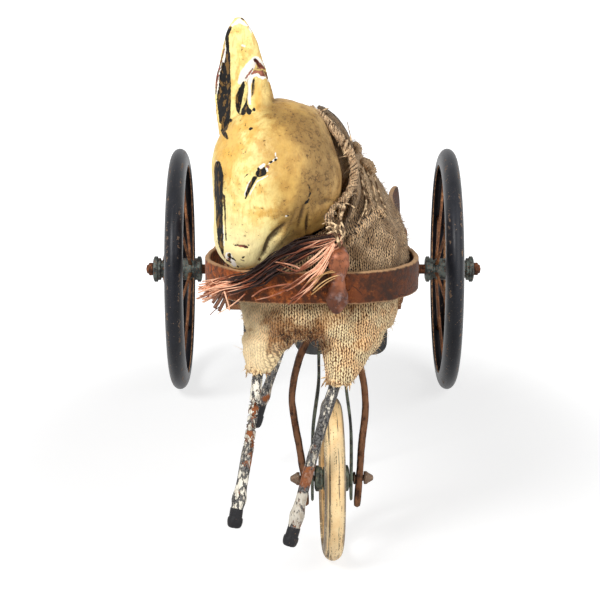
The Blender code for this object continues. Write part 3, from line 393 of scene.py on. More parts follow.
def rustFinish(name, dark, rust, bright, cracks=0.0, edge=None, metal=0.3, shaded=None):
    # shaded gives two places across X between which painted shade darkens the iron
    f = Finish(name)
    broad, middle, fine = f.noise(12, 5), f.noise(2.6, 5, 0.62), f.noise(0.7, 3, 0.6)
    f.colour = f.mix(f.rise(broad * 0.5 + middle * 0.5, 0.42, 0.6), dark, rust)
    height = middle * 0.6 + fine * 0.4
    f.over(f.rise(height, 0.54, 0.64) * 0.7, bright)
    f.over(f.rise(f.noise(4, 5, 0.6, stretch=(1, 1, 0.5)), 0.56, 0.7) * 0.6, (36, 23, 16))
    # painted shade: the iron darker towards one side
    if shaded:
        f.over(f.rise(f.part(0) + (broad - 0.5) * 0.02, *shaded) * 0.78, (34, 18, 9))
    if cracks:
        line = f.rise(f.cracks(cracks, 160, 0.005), 0.045, 0)
        line = line * f.rise(broad, 0.5, 0.6) * f.rise(middle, 0.42, 0.5)
        f.over(line * 0.8, (30, 18, 10))
        height = height - line * 0.4
    # paler along the bar's edges: painted highlight
    if edge:
        f.over(f.rise(f.attribute("edge") + middle * 0.25, 0.98, 1.12) * 0.85, edge)
    return f.wear(roughness=0.5 + middle * 0.35, metallic=metal, specular=0.3, normal=f.bump(height, 0.5))


def blackRimFinish(name, centre, radius, depth):
    # black paint, rust along the bends, and a rusty channel inside
    f = Finish(name)
    y, z = f.part(1) - centre[1], f.part(2) - centre[2]
    out = (y * y + z * z) ** 0.5 * 1000
    aside = abs(f.part(0) - centre[0]) * 1000
    specks, fine, along = f.noise(2.2, 5, 0.65), f.noise(0.8, 4, 0.6), f.noise(9, 4)
    f.colour = f.mix(along, (16, 17, 21), (42, 44, 52))
    f.over(f.rise(fine, 0.55, 0.75) * 0.25, (110, 100, 88))
    bend = f.rise(abs(aside - 3.6), 1.5, 0.2) * f.rise(out, radius - depth * 0.7, radius - 1)
    chip = f.rise(specks * 0.7 + fine * 0.3 + bend * f.rise(along, 0.42, 0.6) * 0.13, 0.61, 0.66)
    f.over(chip * 0.85, f.mix(fine, (98, 68, 48), (172, 146, 122)))
    # the channel's rust, painted paler as painted light where the hollow lies in shade
    inside = f.rise(out, radius - 1.5 - depth * 0.25, radius - 2.2 - depth * 0.4) * f.rise(aside, 4.9, 4.2)
    f.over(inside, f.mix(f.rise(specks, 0.4, 0.6), (112, 74, 48), (216, 164, 116)))
    height = specks * 0.25 + fine * 0.2 - chip * 0.35
    rough = 0.3 + chip * 0.4 + inside * 0.4 + fine * 0.15
    return f.wear(roughness=rough, specular=0.22, normal=f.bump(height, 0.3))


def cloudyMetal(name, clouds, dark, light, flecks, fleck, rough, metallic, depth):
    # two tones in clouds, and flecks of a third; clouds and flecks start with their size in mm
    f = Finish(name)
    cloud, fine = f.noise(clouds[0], 5, 0.6), f.noise(flecks[0], 4, 0.6)
    f.colour = f.mix(f.rise(cloud, *clouds[1:]) if clouds[1:] else cloud, dark, light)
    f.over(f.rise(fine, *flecks[1:3]) * flecks[3], fleck)
    return f.wear(roughness=rough[0] + fine * rough[1], metallic=metallic, normal=f.bump(fine, depth))


def creamFinish(name, centre, turn):
    # cream paint with dark age lines that run round the tread
    f = Finish(name)
    around = f.node("Mapping", None, {"Vector": f.place, "Location": tuple(-centre)})
    turned = f.node("Mapping", None, {"Vector": around, "Rotation": (0, 0, -turn)})
    x, y, z = (f.part(axis, turned) * 1000 for axis in range(3))
    out = (y * y + z * z) ** 0.5
    run = z.calc("ARCTAN2", y) * 39
    unrolled = f.node("CombineXYZ", None, {0: x / 1000, 1: run / 14000, 2: out / 1000})
    streak = f.noise(1.1, 5, 0.6, unrolled)
    broad, fine = f.noise(8, 4), f.noise(0.8, 4, 0.65)
    f.colour = f.mix(f.rise(broad, 0.3, 0.7), (250, 222, 170), (238, 200, 142))
    f.over(f.rise(fine, 0.55, 0.8) * 0.5, (186, 132, 74))
    tread = f.rise(out, 35.6, 37.4)
    aside = streak - 0.5
    line = f.rise(abs(x + 2.7 + aside * 1.2), 0.55, 0.15) * f.rise(streak + fine * 0.3, 0.5, 0.66) * tread
    thin = f.rise(abs(x - 1.6 + aside * 2), 0.4, 0.05) * f.rise(streak, 0.46, 0.54) * tread
    low = f.rise(z, -8, -30) * tread
    dirt = f.rise(streak * 0.6 + fine * 0.4 + low * 0.05, 0.555, 0.61)
    f.over(dirt * 0.8, (84, 54, 26))
    f.over(line.calc("MAXIMUM", thin) * 0.9, (44, 33, 24))
    f.over(f.rise(abs(x), 3.4, 4.4) * f.rise(fine * 0.5 + broad * 0.5, 0.36, 0.5) * 0.85, (62, 48, 36))
    f.over(f.rise(out, 34.6, 33.6) * f.rise(abs(x), 4.4, 3.8) * 0.6, (104, 74, 48))
    return f.wear(roughness=0.42 + dirt * 0.25 + fine * 0.15,
                  normal=f.bump(fine * 0.2 - dirt * 0.4 - line * 0.6, 0.25))


def hookFinish(name):
    # hand-worn iron: brown, with patches of pale grey that are painted sheen
    f = Finish(name)
    broad, middle, fine = f.noise(9, 4, 0.55), f.noise(3, 5, 0.6), f.noise(0.8, 3, 0.6)
    f.colour = f.mix(f.rise(broad, 0.4, 0.6), (90, 48, 28), (140, 82, 52))
    f.over(f.rise(middle, 0.54, 0.66) * 0.8, (74, 40, 28))
    # painted highlight: pale grey patches of sheen
    f.over(f.rise(f.noise(5, 4), 0.56, 0.7) * 0.38, (150, 140, 140))
    line = f.rise(abs(f.noise(6, 3, stretch=(1, 1, 0.6)) - 0.5), 0.012, 0.002)
    f.over(line * 0.6, (52, 28, 20))
    return f.wear(roughness=0.3 + middle * 0.25, metallic=0.3, specular=0.4,
                  normal=f.bump(middle * 0.5 + fine * 0.2 - line * 0.4, 0.3))


# the band: painted shade darkens it towards its right side
ironBrown = rustFinish("bandIron", (72, 38, 18), (160, 82, 36), (202, 120, 60), 9, (186, 148, 108), 0.2,
                       (-0.005, 0.03))
hookIron = hookFinish("hookIron")
# the straps, like the band, take paler edges as painted highlight
strapIron = rustFinish("strapIron", (46, 28, 19), (104, 62, 38), (160, 100, 62), 0, (132, 92, 64))
axleIron = rustFinish("axleIron", (70, 42, 28), (140, 84, 54), (190, 130, 90))
wireRust = rustFinish("wireRust", (98, 62, 40), (150, 98, 62), (196, 146, 104))
hubMetal = cloudyMetal("hubMetal", (4, 0.4, 0.6), (42, 47, 46), (98, 106, 100), (0.9, 0.55, 0.66, 0.7),
                       (140, 92, 62), (0.45, 0.35), 0.55, 0.25)
steel = cloudyMetal("wornSteel", (3,), (76, 64, 54), (146, 124, 104), (0.7, 0.52, 0.62, 0.75),
                    (112, 66, 42), (0.4, 0.35), 0.8, 0.2)
darkIron = cloudyMetal("darkIron", (5, 0.38, 0.62), (38, 40, 38), (96, 104, 90), (0.8, 0.56, 0.68, 0.6),
                       (150, 120, 84), (0.5, 0.3), 0.4, 0.2)
print("metal finishes ready")

# stage: pale floor, soft light, white behind

stageLight = {"key": 24, "keyPlace": (-750, -1150, 1150), "keySize": 0.6,
              "fill": 11, "fillPlace": (900, -700, 700), "fillSize": 1.2,
              "aim": (0, 0, 110), "world": 0.55, "floorGlow": 1.3}


def stage(values):
    sky = Finish("studio", True)
    bpy.context.scene.world = sky.material
    sky.shader.inputs["Strength"].default_value = values["world"]
    white = sky.node("Background", None, {"Color": (1, 1, 1, 1)})
    sky.share(sky.notLighting(), white, "World Output")
    for name in ("key", "fill"):
        lamp = bpy.data.lights.new(name, "AREA")
        lamp.energy, lamp.size = values[name], values[name + "Size"]
        holder = bpy.data.objects.new(name, lamp)
        holder.location = Vector(values[name + "Place"]) * mm
        toAim = Vector(values["aim"]) * mm - holder.location
        holder.rotation_euler = toAim.to_track_quat("-Z", "Y").to_euler()
        bpy.context.scene.collection.objects.link(holder)
    # the floor: half shade and half glow near the toy, and all glow further off
    f = Finish("paleFloor")
    x, y = f.part(0), f.part(1) * 0.8
    far = f.rise((x * x + y * y) ** 0.5, 0.14, 0.3)
    f.wear(colour=(0.88, 0.88, 0.88, 1), roughness=0.9, specular=0.1)
    glow = f.node("Emission", None, {"Color": (1, 1, 1, 1), "Strength": values["floorGlow"]})
    f.share((0.58 + far * 0.42) * f.notLighting(), glow, "Material Output")
    corners = np.array([(-6, -3, 0), (6, -3, 0), (6, 9, 0), (-6, 9, 0)], float)
    makePiece("floor", corners, [(0, 1, 2, 3)], f.material, smooth=False, merge=False)
    bpy.context.scene.view_settings.view_transform = "Standard"


stage(stageLight)
print("stage ready")

# rear wheels on their axle

rearWheel = {"radius": 75, "width": 11, "depth": 10, "wall": 1.3, "wire": 0.85, "spokes": 12, "spread": 8,
             "hubHalf": 15.2, "bore": 3.3, "flange": 8, "barrel": 5.5, "sleeve": 8.5, "axle": 3,
             "nut": 4, "nutLength": 4.3}


def rimOutline(values):
    # rolled channel: a round tread outside, the same bend again a wall's thickness inside
    half, radius, depth, wall = values["width"] / 2, values["radius"], values["depth"], values["wall"]
    angle = np.radians(np.linspace(90, -90, 25))
    outer = np.stack((half * np.sin(angle), radius - depth + depth * np.cos(angle) ** 0.8), -1)
    innerRadius = radius - depth + (depth - wall * 1.15) * np.cos(angle) ** 0.7
    inner = np.stack(((half - wall) * np.sin(angle), innerRadius), -1)
    return np.concatenate((outer, inner[::-1]))


def hubOutline(values):
    # a spool: a stepped flange at each end of a barrel
    half, flange = values["hubHalf"], values["flange"]
    lip, step = flange * 0.35, flange * 0.86
    edge = [(half, values["bore"]), (half, flange * 0.75), (half - lip * 0.25, flange), (half - lip, flange),
            (half - lip, step), (half - lip * 1.7, step), (half - lip * 1.7, values["barrel"])]
    return edge + [(-x, r) for x, r in edge[::-1]]


def spokeLines(values, points, lift, sign=1):
    # wires from both sides of the sleeve to the rim, in mm from the wheel's middle with its axis along X
    count = values["spokes"]
    angle = 2 * math.pi * (np.arange(count) + 0.5) / count
    out = np.stack((np.zeros(count), np.cos(angle), np.sin(angle)), -1)
    side = np.where(np.arange(count) % 2, values["spread"], -values["spread"]) * sign
    reach = values["radius"] - values["wall"] - values["depth"] * 0.06 - 0.2
    start = out * (values["barrel"] + lift) + side[:, None] * (1, 0, 0)
    t = np.linspace(0, 1, points)[None, :, None]
    radii = np.full((count, points), values["wire"])
    radii[:, 0] *= 1.5
    return start[:, None] * (1 - t) + (out * reach)[:, None] * t, radii, t


def rearWheelPieces(side, sign, values):
    body, rimNode, hubNode, spokesNode = ("rear_" + side + end for end in ("_wheel", "_rim", "_hub", "_spokes"))
    centre, hubCentre = middleOf(rimNode), middleOf(hubNode)
    across = (1, 0, 0)
    black = blackRimFinish(side + "RimPaint", tuple(centre), values["radius"], values["depth"])
    rim = turnedPiece(side + "WheelRim", rimOutline(values), centre, across, black, 180, 0, True, 0.0006)
    put(rim, body, "black_paint", rimNode)
    hub = turnedPiece(side + "WheelHub", hubOutline(values), hubCentre, across, hubMetal, 64, 0.35, True)
    put(hub, body, "hub_metal", hubNode)
    lines, radii, t = spokeLines(values, 12, 0.4, sign)
    bent = np.random.default_rng(5 + sign).normal(0, 0.35, (values["spokes"], 1, 3)) * np.sin(t * math.pi)
    lines = (lines + bent) * mm + np.asarray(hubCentre) * (1 - t) + np.asarray(centre) * t
    radii[:, -1] *= 1.9
    put(strandPiece(side + "WheelSpokes", lines, radii, wireRust, 8), body, "rusty_wire", spokesNode)
    outline = tube(-values["sleeve"], values["sleeve"], values["barrel"] + 0.3, values["barrel"] + 1.2)
    sleeve = turnedPiece(side + "SpokeSleeve", outline, hubCentre, across, hubMetal, 48, 0.25, True)
    put(sleeve, body, "rusty_wire", spokesNode)
    node = side + "_axle_nut"
    base = Vector((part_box(node)[0 if sign > 0 else 1].x, centre.y, centre.z))
    size, long = values["nut"], values["nutLength"]
    outline = [(0, 0), (0, size * 0.98), (long * 0.55, size), (long * 0.62, size * 0.7),
               (long * 0.85, size * 0.68), (long, 0)]
    nut = turnedPiece(side + "AxleNut", outline, base, (sign, 0, 0), axleIron, 40, 0.5, wobble=0.03)
    put(nut, "frame", "rusty_iron", node)
    base, long = lowEnd(side + "_axle_collar", 0)
    outline = [(0, 3.1), (0, 4.6), (0.5, 5.2), (long - 0.5, 5.2), (long, 4.6), (long, 3.1)]
    stop = turnedPiece(side + "AxleStop", outline, base, across, axleIron, 40, 0.3, True, 0.02)
    put(stop, "frame", "rusty_iron", side + "_axle_collar")


def axlePiece(values):
    base, long = lowEnd("rear_axle", 0)
    axle = turnedPiece("axleBar", tube(0, long, 0, values["axle"]), base, (1, 0, 0), axleIron, 40, 0.4)
    put(axle, "frame", "rusty_iron", "rear_axle")


rearWheelPieces("left", -1, rearWheel)
rearWheelPieces("right", 1, rearWheel)
axlePiece(rearWheel)
print("rear wheels ready")

# fork, front wheel and everything that steers

fork = {"x": 6.7, "y": -153.75, "turn": math.radians(2), "axle": 39.0, "strapThick": 3.1, "strapWide": 8.0,
        "left": [(-12.2, 25.5), (-13.1, 39), (-15.6, 55.6), (-18, 70.5), (-18.9, 80.2), (-17, 92.4),
                 (-13.7, 103), (-10.5, 108.4), (-6, 110.25), (6, 110.25)],
        "right": [(12.1, 24.5), (13.1, 39), (14.4, 58), (15.8, 73), (15.3, 82.7), (13.8, 91.4),
                  (11.8, 98.6), (9.4, 104.8), (5.6, 106.85), (-6, 106.85)],
        "stamped": [(9.2, 28), (9.2, 55), (8.6, 68), (6.4, 86), (6.3, 100.3), (5.4, 104.3)]}
frontWheel = {"radius": 39, "width": 9.8, "depth": 7, "wall": 1.3, "wire": 0.95, "spokes": 6, "spread": 2.5,
              "hubHalf": 8.2, "bore": 1.8, "flange": 6.2, "barrel": 4.2, "sleeve": 4,
              "axle": 1.5, "axleHalf": 17.8, "nutAt": 15.25, "washerAt": 10.2}
steering = {"pin": 2.5, "head": 4, "washer": 8, "washerBore": 2.9, "washerThick": 1.8}


def onFork(points):
    # points in mm, in the fork's own frame, turned and moved to where it stands
    points = np.asarray(points, float)
    c, s = math.cos(fork["turn"]), math.sin(fork["turn"])
    x, y = points[..., 0], points[..., 1]
    return np.stack((fork["x"] + c * x - s * y, fork["y"] + s * x + c * y, points[..., 2]), -1) * mm


def uprightFace(ahead):
    return np.stack((ahead[:, 2], np.zeros(len(ahead)), -ahead[:, 0]), -1)


def levelFace(ahead):
    return np.stack((ahead[:, 1], -ahead[:, 0], np.zeros(len(ahead))), -1)


def forkStraps(values):
    for side, seed in (("left", 3), ("right", 4)):
        line = smoothLine(np.insert(values[side], 1, 0, axis=1), 90)
        line[:, 0] += sway(np.random.default_rng(seed), 90, 15) * 0.25
        strap = strapPiece(side + "ForkRod", onFork(line), values["strapThick"], values["strapWide"],
                           uprightFace, strapIron, 1.1, 0.035, seed, 5)
        put(strap, "fork", "rusty_iron", side + "_fork_strap")


def stampedFork(values):
    side = values["stamped"]
    line = smoothLine(np.insert([(-x, z) for x, z in side] + side[::-1], 1, 0, axis=1), 120)
    wide = 10 - 2.5 * np.clip(1 - np.abs(np.linspace(-1, 1, 120)) * 2.2, 0, 1)
    piece = strapPiece("innerFork", onFork(line), 1.4, wide, uprightFace, darkIron, 0.5, 0.01, 8, 4)
    put(piece, "fork", "dark_iron", "stamped_fork")


def frontWheelPieces(values):
    centre = onFork((0, 0, fork["axle"]))
    axis = (math.cos(fork["turn"]), math.sin(fork["turn"]), 0)
    cream = creamFinish("creamPaint", centre, fork["turn"])
    rim = turnedPiece("frontRim", rimOutline(values), centre, axis, cream, 150, 0, True, 0.0012)
    put(rim, "front_wheel", "cream_paint", "front_rim")
    hub = turnedPiece("frontHub", hubOutline(values), centre, axis, darkIron, 56, 0.35, True)
    put(hub, "front_wheel", "dark_iron", "front_hub")
    lines, radii, _ = spokeLines(values, 10, 0.3)
    spokes = strandPiece("frontSpokes", onFork(lines + (0, 0, fork["axle"])), radii, cream, 8)
    put(spokes, "front_wheel", "cream_paint", "front_spokes")
    outline = tube(-values["sleeve"], values["sleeve"], values["barrel"] + 0.3, values["barrel"] + 1.3)
    sleeve = turnedPiece("frontSpokeSleeve", outline, centre, axis, darkIron, 40, 0.25, True)
    put(sleeve, "front_wheel", "cream_paint", "front_spokes")
    outline = tube(-values["axleHalf"], values["axleHalf"], 0, values["axle"])
    put(turnedPiece("frontAxleBar", outline, centre, axis, steel, 28, 0.3), "fork", "steel", "front_axle")
    cone = [(0, 0), (0, 3.1), (1.4, 3.15), (1.9, 2.6), (3.4, 1.7), (4.4, 1.15), (4.6, 0)]
    ring = [(0, 1.8), (0, 2.6), (0.3, 3), (0.75, 3), (1.05, 2.6), (1.05, 1.8)]
    for side, sign in (("left", -1), ("right", 1)):
        outward = tuple(sign * a for a in axis)
        place = onFork((sign * values["nutAt"], 0, fork["axle"]))
        nut = turnedPiece(side + "ConeNut", cone, place, outward, steel, 36, 0.35, wobble=0.03)
        put(nut, "fork", "rusty_iron", side + "_cone_nut")
        place = onFork((sign * values["washerAt"], 0, fork["axle"]))
        washer = turnedPiece(side + "ForkWasher", ring, place, outward, steel, 32, 0.15, True)
        put(washer, "fork", "steel", side + "_fork_washer")


def kingPin(values):
    base, tall = lowEnd("king_pin", 2)
    radius, head = values["pin"], values["head"]
    outline = [(0, 0), (0.2, head * 0.8), (0.6, head), (1.5, head), (1.5, radius), (tall, radius), (tall, 0)]
    put(turnedPiece("kingPin", outline, base, (0, 0, 1), steel, 36, 0.3), "fork", "steel", "king_pin")
    base, _ = lowEnd("steering_washer", 2)
    outline = tube(0, values["washerThick"], values["washerBore"], values["washer"])
    washer = turnedPiece("steeringWasher", outline, base, (0, 0, 1), steel, 56, 0.3, True)
    put(washer, "fork", "steel", "steering_washer")


forkStraps(fork)
stampedFork(fork)
frontWheelPieces(frontWheel)
kingPin(steering)
print("fork and front wheel ready")

# the iron band round the goat, its bearer and the tow hook

band = {"thick": 2.4, "high": 14.3, "z": 144.5, "front": -206.55, "drop": 13.5, "shift": -3.0,
        "eyeX": 51.0, "eyeRadius": 8.0, "eyeHole": 3.3, "axleY": 138.25, "axleZ": 75.0}
bearer = {"thick": 3, "wide": 9}
hook = {"x": 7.9, "face": -208.05, "behind": -204.15}


def bandLine(values, count):
    # half a band, mirrored: round the chest, then back and down to the eyes on the axle
    half = np.array([(0, 0), (18, 0.9), (31, 6), (39.5, 15), (45.5, 27), (47.4, 40), (46.4, 53), (44.4, 66),
                     (43, 95), (42, 145)], float)
    start, z, axleY, axleZ, drop = (values[key] for key in ("front", "z", "axleY", "axleZ", "drop"))
    y = start + half[:, 1]
    front = np.stack((half[:, 0], y, z - drop * half[:, 1] / (axleY - start)), -1)
    rise = z - axleZ
    arm = np.array([(0.816, 1, z - drop * 0.68), (0.843, 0.633, z - drop * 0.85), (0.931, 0.413, z - drop),
                    (0.988, 0.233, axleZ + rise * 0.547), (1, 0.107, axleZ + rise * 0.23),
                    (1, 0.007, axleZ + rise * 0.014)])
    arm = np.stack((values["eyeX"] * arm[:, 0], axleY - 150 * arm[:, 1], arm[:, 2]), -1)
    right = np.concatenate((front, arm))
    points = np.concatenate(((right[::-1] * (-1, 1, 1))[:-1], right))
    points[:, 0] += values["shift"] * np.clip((axleY - 150 - points[:, 1]) / 100, 0, 1)
    return smoothLine(points, count)


def ironBand(values):
    line = bandLine(values, 420)
    line[:, 2] += sway(np.random.default_rng(11), 420, 19) * 0.5
    piece = strapPiece("ironBand", line * mm, values["thick"], values["high"], levelFace, ironBrown,
                       0.7, 0.012, 12)
    put(piece, "frame", "rusty_iron", "frame_band")
    for side, sign in (("left", -1), ("right", 1)):
        base = Vector((sign * values["eyeX"] - values["thick"] / 2, values["axleY"], values["axleZ"])) * mm
        outline = tube(0, values["thick"], values["eyeHole"], values["eyeRadius"])
        eye = turnedPiece(side + "BandEye", outline, base, (1, 0, 0), ironBrown, 56, 0.5, True, 0.01)
        put(eye, "frame", "rusty_iron", "frame_band")


def bearerStrap(values):
    low, high = boxInMm("bearer_strap")
    half = values["thick"] / 2
    y, left, right, top, z = (low[1] + high[1]) / 2, low[0] + half, high[0] - half, high[2], low[2] + half
    course = [(left, top), (left, top - 12), (left, z + 8), (left + 1.6, z + 1.7), (left + 8, z),
              (right - 8, z), (right - 1.6, z + 1.7), (right, z + 8), (right, top - 12), (right, top)]
    line = smoothLine(np.insert(course, 1, y, axis=1), 120)
    piece = strapPiece("bearerStrap", line * mm, values["thick"], values["wide"], uprightFace, strapIron,
                       0.8, 0.015, 14, 3)
    put(piece, "frame", "rusty_iron", "bearer_strap")
    for side in ("left", "right"):
        base, long = lowEnd(side + "_bearer_rivet", 0)
        end = [(0, 0), (0.15, 1.4), (0.6, 2.5), (1.2, 3), (1.2, 1.5)]
        outline = end + [(long - along, radius) for along, radius in end[::-1]]
        rivet = turnedPiece(side + "BearerRivet", outline, base, (1, 0, 0), axleIron, 28, 0.15)
        put(rivet, "frame", "rusty_iron", side + "_bearer_rivet")


def towHook(values):
    # a bar swept up the band's face, over its top edge and down behind; two lobes with a waist between
    face, behind, count = values["face"], values["behind"], 120
    path = [(face - 2.5, 133.8), (face - 2.75, 140), (face - 2.3, 148), (face - 2.4, 155),
            (face - 1.6, 159.6), ((face + behind) / 2 + 0.2, 161.4), (behind + 2.5, 159.2),
            (behind + 2.2, 154), (behind + 1.9, 147)]
    line = smoothLine(np.insert(path, 0, 0, axis=1), count)
    walked = np.concatenate(([0], np.cumsum(np.linalg.norm(np.diff(line, axis=0), axis=1))))
    ahead = directions(line)
    outward = np.stack((np.zeros(count), -ahead[:, 2], ahead[:, 1]), -1)
    lower, upper = np.exp(-((walked - 7) / 5) ** 2), np.exp(-((walked - 22.8) / 5) ** 2)
    half = 2.7 + 2.25 * lower + 1.95 * upper - 0.4 * np.clip((walked - 29) / 8, 0, 1)
    deep = 1.85 + 0.95 * lower + 0.7 * upper - 0.4 * np.clip((walked - 27) / 8, 0, 1)
    tip = np.sqrt(np.clip(1 - (1 - np.clip(walked / 5.2, 0, 1)) ** 2, 0.004, 1))
    tail = np.sqrt(np.clip(1 - (1 - np.clip((walked[-1] - walked) / 2, 0, 1)) ** 2, 0.01, 1))
    angle = np.linspace(0, 2 * math.pi, 64, endpoint=False)
    across = walked[:, None]
    ridge = 1 + 0.035 * np.sin(angle + across * 1.5) + 0.02 * np.sin(3 * angle - across * 0.9)
    x = np.cos(angle) * (half * tip * tail)[:, None] * ridge
    out = np.sin(angle) * (deep * tip ** 0.7 * tail)[:, None] * ridge
    grid = line[:, None] + x[..., None] * (1, 0, 0) + out[..., None] * outward[:, None]
    grid[..., 0] += values["x"] + 0.045 * (across - 12).clip(-12, 16)
    put(skin("towHook", grid * mm, hookIron), "frame", "rusty_iron", "tow_hook")


ironBand(band)
bearerStrap(bearer)
towHook(hook)
print("band and hook ready")

# the goat: forms are worked out in mm from the middle of its underside, as the solids are

goatPlace = np.array((0, -153.75, 118))
headCentre = np.array((-15, -28.4, 77))
headAxis, headWide = unit((-0.493, -0.31, -0.813)), unit((0.863, -0.126, -0.482))
headDeep = np.cross(headAxis, headWide)
nodAxis, fullNod = unit(np.cross(headAxis, (0, 0, 1))), math.radians(15)


def between(rows, count):
    # smooth rows between the given ones, evenly spaced by row number
    rows = np.asarray(rows, float)
    t = np.linspace(0, len(rows) - 1, count)
    k = np.minimum(t.astype(int), len(rows) - 2)
    t = (t - k)[:, None]
    return curve(*(rows[np.clip(k + shift, 0, len(rows) - 1)] for shift in (-1, 0, 1, 2)), t)


def ovalGrid(middles, across, deep, columns, roundness=None, halves=None):
    # ovals round a row of middles; halves stretches the two sides differently, low roundness squares them
    angle = np.linspace(0, 2 * math.pi, columns, endpoint=False)
    c, s = np.cos(angle)[None], np.sin(angle)[None]
    if roundness is not None:
        c, s = np.sign(c) * np.abs(c) ** roundness[:, None], np.sign(s) * np.abs(s) ** roundness[:, None]
    if halves is not None:
        c = c * np.where(c > 0, halves[0][:, None], halves[1][:, None])
    return (middles[:, None] + across[:, None] * c[..., None] + deep[:, None] * s[..., None] + goatPlace) * mm


def crossGrid(middles, wide, other, axis, columns, roundness=None):
    # ovals that lie along X and one other axis
    across, deep = np.zeros((2, len(wide), 3))
    across[:, 0], deep[:, axis] = wide, other
    return ovalGrid(middles, across, deep, columns, roundness)


def levelGrid(rows, count, columns):
    rows = between(rows, count)
    return crossGrid(rows[:, :3], rows[:, 3], rows[:, 4], 1, columns)


def chestGrid():
    rows = between([(0, 0, 30, -41, 34, 0.6), (2.5, 0, 34, -46, 41, 0.6), (10, 0, 36, -47.5, 46, 0.66),
                    (20, 0, 38.5, -47, 50, 0.8), (32, 0, 41, -46, 52, 0.85), (42, 0, 40.5, -43.5, 50, 0.9),
                    (50, -1, 37.5, -40, 47, 1), (59, -2, 33, -36, 43, 1), (72, -3.5, 25.5, -30, 36, 1),
                    (84, -5, 18.5, -24, 28, 1), (92, -6, 12.5, -19, 20, 1), (96, -7, 7, -14, 12, 1),
                    (97, -7, 2, -9, 7, 1)], 90)
    z, x, wide, front, back, roundness = rows.T
    return crossGrid(np.stack((x, (front + back) / 2, z), -1), wide, (back - front) / 2, 1, 128, roundness)


def barrelGrid():
    y, wide, tall = between([(129.5, 9, 8), (127, 19, 17), (120, 28, 24), (108, 33, 28.5), (85, 36, 30.5),
                             (50, 37.5, 31), (15, 37, 30.6), (-5, 34, 28)], 70).T
    return crossGrid(np.stack((y * 0, y, y * 0 + 31), -1), wide, tall, 2, 110)


def headGrid(grow=1.0, turn=0.0):
    # the head from behind to muzzle; grow and turn give the room it needs as it nods
    rows = between([(-27.2, 8, 1, 5), (-24, 16.5, 6.5, 12), (-18, 23, 14.5, 19), (-10, 28, 22.5, 24.5),
                    (-1, 30.8, 28, 27.5), (7, 30.6, 29.8, 28), (14, 28.8, 29.5, 27), (21, 25.3, 25.9, 24.5),
                    (28, 20.4, 20.8, 20.5), (34, 16.5, 17.3, 16.5), (41, 12.7, 15, 12.5), (46, 9.4, 12.5, 9.8),
                    (49.4, 5.8, 8.6, 6.2), (51.2, 1.8, 3.2, 2)], 100)
    along, left, right, deep = rows.T
    grid = ovalGrid(headCentre + headAxis * along[:, None], np.repeat(headWide[None], 100, 0),
                    headDeep * deep[:, None], 96, halves=(right, left))
    middle = (goatPlace + headCentre) * mm
    swing = np.array(Matrix.Rotation(turn, 3, Vector(nodAxis)))
    return middle + ((grid - middle) * grow) @ swing.T


def rodGrid(start, end, radius, endRadius=None, columns=24):
    start, end = np.asarray(start, float), np.asarray(end, float)
    t = np.linspace(0, 1, 5)[:, None]
    middles = start * (1 - t) + end * t
    ahead = unit(end - start)
    side = unit(np.cross(ahead, (0.1, 0.2, 0.97)))
    size = radius * (1 - t) + (endRadius or radius) * t
    return ovalGrid(middles, side * size, np.cross(ahead, side) * size, columns)


def unite(grids, voxel, cuts=()):
    # closed forms joined into one skin by a voxel remesh, after each cut is taken from the first of them
    made = [skin("form", grid, None) for grid in grids]
    for cut in cuts:
        tool = skin("cut", cut, None)
        change = made[0].modifiers.new("cut", "BOOLEAN")
        change.operation, change.solver, change.object = "DIFFERENCE", "EXACT", tool
        settled(made[0])
        bpy.data.objects.remove(tool)
    joined = bmesh.new()
    for piece in made:
        joined.from_mesh(piece.data)
        bpy.data.objects.remove(piece)
    mesh = bpy.data.meshes.new("joined")
    joined.to_mesh(mesh)
    joined.free()
    whole = bpy.data.objects.new("joined", mesh)
    bpy.context.scene.collection.objects.link(whole)
    change = whole.modifiers.new("remesh", "REMESH")
    change.mode, change.voxel_size = "VOXEL", voxel * mm
    settled(whole)
    points, normals, faces = meshArrays(whole.data)
    bpy.data.objects.remove(whole)
    return points, normals, faces


def settled(piece):
    # the piece's modifiers become its mesh
    bpy.context.view_layer.update()
    result = bpy.data.meshes.new_from_object(piece.evaluated_get(bpy.context.evaluated_depsgraph_get()))
    piece.modifiers.clear()
    piece.data = result


def meshArrays(mesh):
    points, normals = np.empty(len(mesh.vertices) * 3), np.empty(len(mesh.vertices) * 3)
    mesh.vertices.foreach_get("co", points)
    mesh.vertices.foreach_get("normal", normals)
    return points.reshape(-1, 3), normals.reshape(-1, 3), [tuple(face.vertices) for face in mesh.polygons]


def waves(points, size, seed, count=7):
    # gentle ups and downs about size mm across, from a few crossing sine waves
    random = np.random.default_rng(seed)
    ways = random.normal(0, 1, (count, 3))
    ways *= random.uniform(0.7, 1.4, (count, 1)) / np.linalg.norm(ways, axis=1, keepdims=True)
    turns = points @ ways.T * (1000 / size * math.pi) + random.uniform(0, 6.3, count)
    return np.sin(turns).sum(1) / math.sqrt(count)


# distance in mm from the camera to the plane where picture places are laid
viewDepth = {"head": 798, "ear": 819, "body": 825, "front": 805}
# the photograph in pixels, the middle of the plane that faces the camera, and the camera's tilt
pictureScale, pictureMiddle, planeMiddle = 1848, 300, (-8.4, 86.26)
tiltSine, tiltCosine = 0.23684, 0.97155
toCamera = np.array((0, -tiltCosine, tiltSine))


def seen(pixels, depth):
    # picture places as places on the plane that faces the camera: across X, and up a little forward of Z
    return (np.asarray(pixels, float) - pictureMiddle) * (1, -1) * (depth / pictureScale) + planeMiddle


def onPlane(points):
    # places in metres as they lie on that plane, in mm
    return np.stack((points[:, 0], tiltSine * points[:, 1] + tiltCosine * points[:, 2]), -1) / mm


